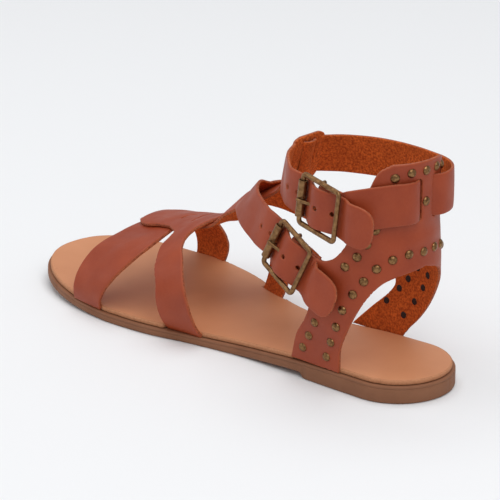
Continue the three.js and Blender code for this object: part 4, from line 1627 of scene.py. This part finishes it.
@dataclass
class Cuff:
    """The heel cuff with its two legs and arms, its studs and the fold of the lower buckle."""

    form: AnkleForm
    slot_height: float = 19.7
    slot_middle: float = 93.0
    slot_places: Sequence[Point] = ((2.9, 6.6), (-4.0, -7.9))
    stud_radius: float = 2.25
    stud_height: float = 1.2

    def edge(self, points: Sequence[Point], side: Side) -> Loop:
        """A smooth run of the outline, drawn from the side, as distance round and height."""
        return [(self.form.arc(x, z, side), z) for x, z in run(points)]

    def outline(self) -> Loop:
        """The whole cuff unrolled: both legs, both arms and the back."""
        lateral, medial = Side.LATERAL, Side.MEDIAL
        arm_l, arm_m = LATERAL_ARM_LOW, MEDIAL_ARM_LOW
        parts = [
            self.edge([(11.9, LEG_FOOT), *LATERAL_REAR], lateral),
            [(0.0, CUFF_BACK_LOW)],
            self.edge([(18.7, LEG_FOOT), *MEDIAL_REAR], medial)[::-1],
            self.edge([arm_m, *MEDIAL_FOOT], medial)[::-1],
            self.edge([MEDIAL_FRONT[-1], arm_m], medial)[::-1][1:],
            self.edge(MEDIAL_FRONT, medial)[::-1][1:],
            [(2.0, CUFF_BACK_TOP)],
            self.edge(LATERAL_FRONT, lateral),
            self.edge([LATERAL_FRONT[-1], arm_l], lateral)[1:],
            self.edge([arm_l, *LATERAL_FOOT], lateral)[1:],
        ]
        return [spot for part in parts for spot in part]

    def slots(self) -> list[Loop]:
        """The two slots at the back that the ankle strap goes in and out through."""
        loops = []
        low, high = (self.slot_middle + s * self.slot_height / 2 for s in (-1, 1))
        for a, b in self.slot_places:
            left, right = min(a, b), max(a, b)
            loops.append(
                [(left, low + 1), (left + 1, low), (right - 1, low), (right, low + 1),
                 (right, high - 1), (right - 1, high), (left + 1, high), (left, high - 1)]
            )
        return loops

    def lift(self, u: float, v: float) -> float:
        """How far the cuff stands off its form: the arm's lap, its flare and its creases."""
        arm = smooth((u - 50) / 7) * smooth((v - 42) / 5) if u > 0 else 0.0
        flare = 0.5 * math.exp(-(((v - 61) / 5) ** 2)) * math.exp(-((u / 20) ** 2))
        brim = 0.55 * smooth((v - 103) / 8) * math.exp(-((u / 22) ** 2))
        return 0.95 * arm + flare + brim + self.creases(u, v)

    def __post_init__(self) -> None:
        """Places the creases: beside the slots, at the bend of each arm and down each leg."""
        self.creases = relief(table(
            Crease,
            (10.2, 93, 90, 24, 1.8, 0.25), (-11.2, 93, 90, 24, 1.8, 0.25),
            (0, 79, 4, 46, 3.2, -0.35), (4, 73, -6, 40, 2.6, 0.3), (37, 55, 58, 26, 3.4, -0.35),
            (42, 49, 62, 24, 3.0, 0.3), (-38, 53, -60, 26, 3.4, -0.35), (48, 33, 20, 24, 4.5, 0.3),
            (55, 21, 24, 24, 4.0, -0.25), (-50, 29, -24, 26, 4.5, 0.3),
        ))

    def make_studs(self) -> list[Any]:
        """Low domes on the outside, and the closed ends of their rivets on the lining."""
        domes, ends = bmesh.new(), bmesh.new()
        for u, v in CENTRE_STUDS + LATERAL_STUDS + MEDIAL_STUDS:
            face = self.lift(u, v) + LEATHER / 2
            spot, out = self.form.place(u, v, face)
            turn = out.to_track_quat("Z", "Y").to_matrix().to_4x4()
            stand = Matrix.Translation(spot + out * -0.25) @ turn
            made = bmesh.ops.create_uvsphere(
                domes, u_segments=16, v_segments=10, radius=self.stud_radius
            )["verts"]
            bmesh.ops.delete(domes, geom=[v for v in made if v.co.z < -0.1], context="VERTS")
            dome = [v for v in made if v.is_valid]
            flat = self.stud_height / self.stud_radius
            bmesh.ops.scale(domes, verts=dome, vec=(1, 1, flat + 0.15))
            bmesh.ops.transform(domes, matrix=stand, verts=dome)
            back, _ = self.form.place(u, v, face - LEATHER - 0.12)
            made = bmesh.ops.create_cone(
                ends, cap_ends=True, segments=12, radius1=1.8, radius2=1.4, depth=0.5
            )["verts"]
            flip = Matrix.Translation(back) @ turn @ Matrix.Rotation(math.pi, 4, "X")
            bmesh.ops.transform(ends, matrix=flip, verts=made)
        rim = [e for e in domes.edges if e.is_boundary]
        bmesh.ops.holes_fill(domes, edges=rim, sides=40)
        studs = make_object("cuff_studs_brass", domes, (STUD_BRASS,))
        backs = make_object("cuff_rivet_ends", ends, (RIVET,), False)
        return [fit(studs, "brass"), fit(backs, "brass")]

    def make_arm_fold(self) -> Any:
        """The end of the outer arm, folded round the bar of the lower buckle."""
        path = StrapPath(buckle_rows(LOWER_BUCKLE, ARM_FOLD_TABLE))
        half = STRAP_WIDTH / 2
        border = closed([(0, half), (0, -half)], [(path.length, -half)], [(path.length, half)])
        lines = between(0, path.length, FINE_GRID)[1:-1]
        bm = Panel(border, [], lines, between(-half, half, GRID)[1:-1]).lay(path, lambda u, v: 0.0)
        return fit(leather_piece("cuff_arm_fold", bm, STRAP), "leather")

    def make_stitches(self) -> Any:
        """Stitches beside the end of each arm."""
        bm = bmesh.new()
        ends = [
            (LATERAL_FRONT[-1], LATERAL_ARM_LOW, Side.LATERAL),
            (MEDIAL_FRONT[-1], MEDIAL_ARM_LOW, Side.MEDIAL),
        ]
        for high, low, side in ends:
            a = Vector((self.form.arc(*high, side), high[1]))
            b = Vector((self.form.arc(*low, side), low[1]))
            for inset in (1.5, 4.0):
                shift = Vector((-side.value * inset, -0.42 * inset))
                start, end = a.lerp(b, 0.1) + shift, a.lerp(b, 0.9) + shift
                face = self.lift(*start.lerp(end, 0.5)) + LEATHER / 2
                Stitching().sew(bm, self.form, tuple(start), tuple(end), face)
        return fit(make_object("cuff_arm_stitches", bm, (THREAD,)), "leather")

    def build(self) -> list[Any]:
        """Makes the cuff and what is on it."""
        border = self.outline()
        u_lines, v_lines = between(-90, 90, GRID), between(4, 118, GRID)
        bm = Panel(border, self.slots(), u_lines, v_lines).lay(self.form, self.lift)
        wall = fit(leather_piece("cuff_leather", bm, LEATHER), "leather", "cuff")
        return [wall, self.make_arm_fold(), *self.make_studs(), self.make_stitches()]


# ---- vamp ----


class BarPoint(NamedTuple):
    """A place on the T-bar's line, and how far it is rolled to the outer side in degrees."""

    x: float
    y: float
    z: float
    roll: float


T_BAR_LINE = table(
    BarPoint,
    (142, -8, 43.6, 4), (131, -8, 46.4, 12), (121, -8, 51, 18), (109, -8, 58.4, 20),
    (96, -8.2, 66, 18), (84, -8.6, 71.4, 12), (75.6, -9, 75.6, 6), (70.6, -9, 81, 0),
    (67.9, -9, 86.4, 0), (66, -9, 93, 0), (64.8, -9, 99, 0), (64.2, -9, 103.4, 0),
)

PLATE_OUTER = [
    (115, 77), (116, 65), (117, 58), (118, 52), (124, 42), (130, 31), (131, 24), (133, 18),
]
PLATE_SLIT = [(139, 15), (143, 13), (152, 12), (159, 13), (166, 11), (170, 8)]
PLATE_FRONT = [(172, -2), (174, -20), (175, -35), (174.5, -45), (174.5, -57)]
PLATE_CROTCH = [
    (153, -50), (155, -36), (150, -26), (143, -20), (136, -22), (126, -30), (118, -42), (115, -67),
]
PLATE_REAR_INNER = [
    (99.8, -55), (101.8, -42), (106.6, -28), (112, -15), (116, -5), (118.5, 4), (121, 14),
]
PLATE_REAR_OUTER = [(119, 24), (114, 32), (108, 39), (101, 51), (98, 58), (96, 66), (95, 77)]
REAR_FOOT_REAR = 99.6  # where the feet of the plate and of the front strap meet the sole
FRONT_FOOT_REAR = 155.3
FRONT_FOOT_FRONT = 174.8
STRAP_REAR = [(139, 33), (141, 42), (146, 52), (151, 60), (154.5, 66)]
STRAP_FRONT = [(174.5, 42), (174, 26), (172, 10), (169, -4)]


@dataclass
class Vamp:
    """The woven vamp: a plate with slits, the outer front strap under it and the T-bar."""

    form: ForefootForm
    tuck: float = 2.05  # how far what goes under the plate lies below it

    def grounded(self, points: Loop, side: Side) -> Loop:
        """Moves the last or first point of a run down to the outsole."""
        ends = {min(points, key=lambda p: -abs(p[1]))}
        return [(x, self.form.base(x, side)) if (x, a) in ends else (x, a) for x, a in points]

    def plate(self) -> Any:
        """The main plate, seen flat as place along the foot and distance round from its ridge."""
        lateral, medial = Side.LATERAL, Side.MEDIAL
        outer = self.grounded(PLATE_OUTER, lateral)
        front = self.grounded(PLATE_FRONT, medial)
        foot_front = (FRONT_FOOT_REAR, self.form.base(FRONT_FOOT_REAR, medial))
        crotch = self.grounded(PLATE_CROTCH, medial)
        foot_rear = (REAR_FOOT_REAR, self.form.base(REAR_FOOT_REAR, medial))
        rear = self.grounded(PLATE_REAR_OUTER, lateral)
        border = closed(
            outer,
            PLATE_SLIT,
            front,
            [foot_front],
            crotch,
            [foot_rear],
            PLATE_REAR_INNER + rear,
        )
        cuts = [
            slit([(131.5, 7.5), (132.6, 2), (134, -3), (133.6, -10)], 1.1),
            slit([(144.2, 3), (144.4, -1), (141.6, -5)], 1.0),
        ]
        marks = relief(table(
            Crease,
            (121, 44, 60, 26, 4.5, 0.45), (112, 56, 40, 30, 4.0, -0.35),
            (127, 14, -70, 26, 3.0, 0.4), (126, -4, 88, 26, 4.0, 0.35), (150, -2, 70, 30, 5.0, 0.4),
            (164, -24, 84, 40, 5.5, 0.35), (112, -40, -62, 30, 4.5, 0.4),
        ))
        panel = Panel(border, cuts, between(90, 180, GRID), between(-92, 92, GRID))
        piece = leather_piece("vamp_plate", panel.lay(self.form, marks), LEATHER)
        return fit(piece, "leather", "vamp")

    def front_strap(self) -> Any:
        """The outer front strap, which comes out from under the plate."""
        foot_rear = (FRONT_FOOT_REAR, self.form.base(FRONT_FOOT_REAR, Side.LATERAL))
        foot_front = (FRONT_FOOT_FRONT, self.form.base(FRONT_FOOT_FRONT, Side.LATERAL))
        border = closed(
            [(146, -4), (142, 14), (141, 20), (140, 25), *STRAP_REAR],
            [foot_rear],
            [foot_front],
            STRAP_FRONT,
        )
        marks = relief(table(
            Crease,
            (154, 30, 86, 26, 5.0, 0.4), (166, 46, 80, 30, 4.5, -0.3),
        ))

        def lift(x: float, a: float) -> float:
            """Low under the plate's edge, and level with the plate further down."""
            return -self.tuck * (1 - smooth((a - 18) / 22)) + marks(x, a)

        panel = Panel(border, [], between(130, 180, GRID), between(-10, 92, GRID))
        piece = leather_piece("vamp_front_strap", panel.lay(self.form, lift), LEATHER)
        return fit(piece, "leather")

    def t_bar(self) -> Any:
        """The T-bar, from under the plate to its slit tab in front of the ankle."""
        rows = []
        for x, y, z, roll in T_BAR_LINE:
            turn = math.radians(roll)
            rows.append((Vector((x, y, z)), Vector((0, math.cos(turn), -math.sin(turn)))))
        path = StrapPath(rows, facing=-1)
        start = path.nearest(Vector((134, -8, 45.6)))
        half, end = T_BAR_WIDTH / 2, path.length
        border = closed(
            [(start, half), (start, -half)],
            [(end - 4.6, -half)],
            [(end - 1.4, -half + 1.3), (end, -half + 4.8)],
            [(end, half - 4.8)],
            [(end - 1.4, half - 1.3), (end - 4.6, half)],
        )
        middle = path.nearest(Vector((66, -9, 91.3)))
        cuts = [slit([(middle - 8.7, w), (middle + 8.7, w)], 2.2) for w in (-3.1, 3.1)]
        form, tuck = self.form, self.tuck

        class Bar:
            """The T-bar's line, eased onto the forefoot where it goes under the plate."""

            def place(self, u: float, v: float, lift: float = 0.0) -> tuple[Vector, Vector]:
                """The point at a distance along and a place across, and the way out."""
                spot, out = path.place(u, v, lift)
                middle_x = path.axes(u)[0].x
                share = smooth((middle_x - 110) / 9)
                if share > 0:
                    under, normal = form.place(middle_x, v - 2.7, lift - tuck)
                    spot = spot.lerp(under, share)
                    out = out.lerp(normal, share).normalized()
                return spot, out

        marks = relief(table(
            Crease,
            (middle - 16, 0, 90, 22, 3.4, -0.5), (middle - 24, 0, 86, 24, 4.0, 0.4),
            (start + 28, 0, 94, 24, 5.0, 0.35),
        ))
        panel = Panel(border, cuts, between(0, end, GRID), between(-half, half, GRID)[1:-1])
        return fit(leather_piece("t_bar", panel.lay(Bar(), marks), LEATHER), "leather")

    def build(self) -> list[Any]:
        """Makes the vamp's three pieces."""
        return [self.plate(), self.front_strap(), self.t_bar()]


# ---- studio ----


@dataclass
class Studio:
    """A pale floor, soft light from large panels, and the camera."""

    eye: Vector = Vector((-732.7, 867.9, 484.4))
    aim: Vector = Vector((93, 1, 41))
    lens: float = 192.0
    sensor: float = 36.0

    def make_floor(self) -> None:
        """A large sheet of pale paper under the shoe."""
        bm = bmesh.new()
        bmesh.ops.create_grid(bm, x_segments=2, y_segments=2, size=4000)
        bmesh.ops.translate(bm, verts=bm.verts[:], vec=(0, 0, -0.05))
        paper = PlainStuff("studio_paper_pale", "#EDEEEF", "#EBECED", 0.9)
        make_object("studio_floor", bm, (paper,))

    def make_light(self, name: str, spot: Point, height: float, size: float, power: float) -> None:
        """One soft light panel aimed at the shoe."""
        lamp = bpy.data.lights.new(name, "AREA")
        lamp.shape, lamp.size, lamp.energy = "SQUARE", size, power
        panel = bpy.data.objects.new(name, lamp)
        panel.location = (*spot, height)
        panel.rotation_mode = "QUATERNION"
        way = Vector((0.08, 0, 0.04)) - panel.location
        panel.rotation_quaternion = way.to_track_quat("-Z", "Y")
        bpy.context.scene.collection.objects.link(panel)

    def make_world(self) -> None:
        """An even white surround."""
        scene = bpy.context.scene
        scene.world = bpy.data.worlds.new("studio_white")
        scene.world.use_nodes = True
        tree = scene.world.node_tree
        tree.nodes.clear()
        glow = add_node(
            tree, "ShaderNodeBackground", inputs={"Color": linear("#F8F9FC"), "Strength": 0.52}
        )
        add_node(tree, "ShaderNodeOutputWorld", inputs={"Surface": glow.outputs[0]})
        scene.view_settings.view_transform = "Standard"

    def make_camera(self) -> None:
        """The camera, behind and above the shoe on its outer side, with all of it in view."""
        camera = bpy.data.cameras.new("camera")
        camera.lens, camera.sensor_width = self.lens, self.sensor
        camera.clip_start, camera.clip_end = 0.05, 30
        holder = bpy.data.objects.new("camera", camera)
        holder.location = self.eye * MM
        holder.rotation_mode = "QUATERNION"
        holder.rotation_quaternion = (self.aim - self.eye).to_track_quat("-Z", "Y")
        bpy.context.scene.collection.objects.link(holder)
        bpy.context.scene.camera = holder

    def build(self) -> None:
        """Sets the studio up."""
        self.make_world()
        self.make_floor()
        self.make_light("key_panel", (-0.9, 0.5), 1.5, 1.3, 12)
        self.make_light("top_panel", (0.3, -0.2), 1.7, 1.6, 12)
        self.make_light("toe_panel", (1.3, 0.9), 0.9, 1.0, 4)
        self.make_camera()


def main() -> None:
    """Builds the shoe piece by piece, then the studio."""
    logging.basicConfig(level=logging.INFO, format="%(name)s: %(message)s")
    ankle, forefoot = AnkleForm(), ForefootForm()
    upper_rows = [
        *buckle_rows(UPPER_BUCKLE, FOLD_TABLE),
        *ankle_rows(UPPER_ROUTE),
        *buckle_rows(UPPER_BUCKLE, THREAD_TABLE),
        *ankle_rows(UPPER_TAIL),
    ]
    lower_rows = [
        *ankle_rows(LOWER_ROUTE),
        *buckle_rows(LOWER_BUCKLE, THREAD_TABLE),
        *ankle_rows(LOWER_TAIL),
    ]
    assemblies = [
        Sole(ankle, forefoot),
        Cuff(ankle),
        Vamp(forefoot),
        BuckledStrap(
            "ankle_strap_leather", "ankle_strap", UPPER_BUCKLE, upper_rows, upper_creases, True
        ),
        BuckledStrap(
            "instep_strap_leather", "instep_strap", LOWER_BUCKLE, lower_rows, lower_creases, False
        ),
        UPPER_BUCKLE,
        LOWER_BUCKLE,
    ]
    for assembly in assemblies:
        assembly.build()
    Studio().build()


if __name__ == "__main__":
    main()
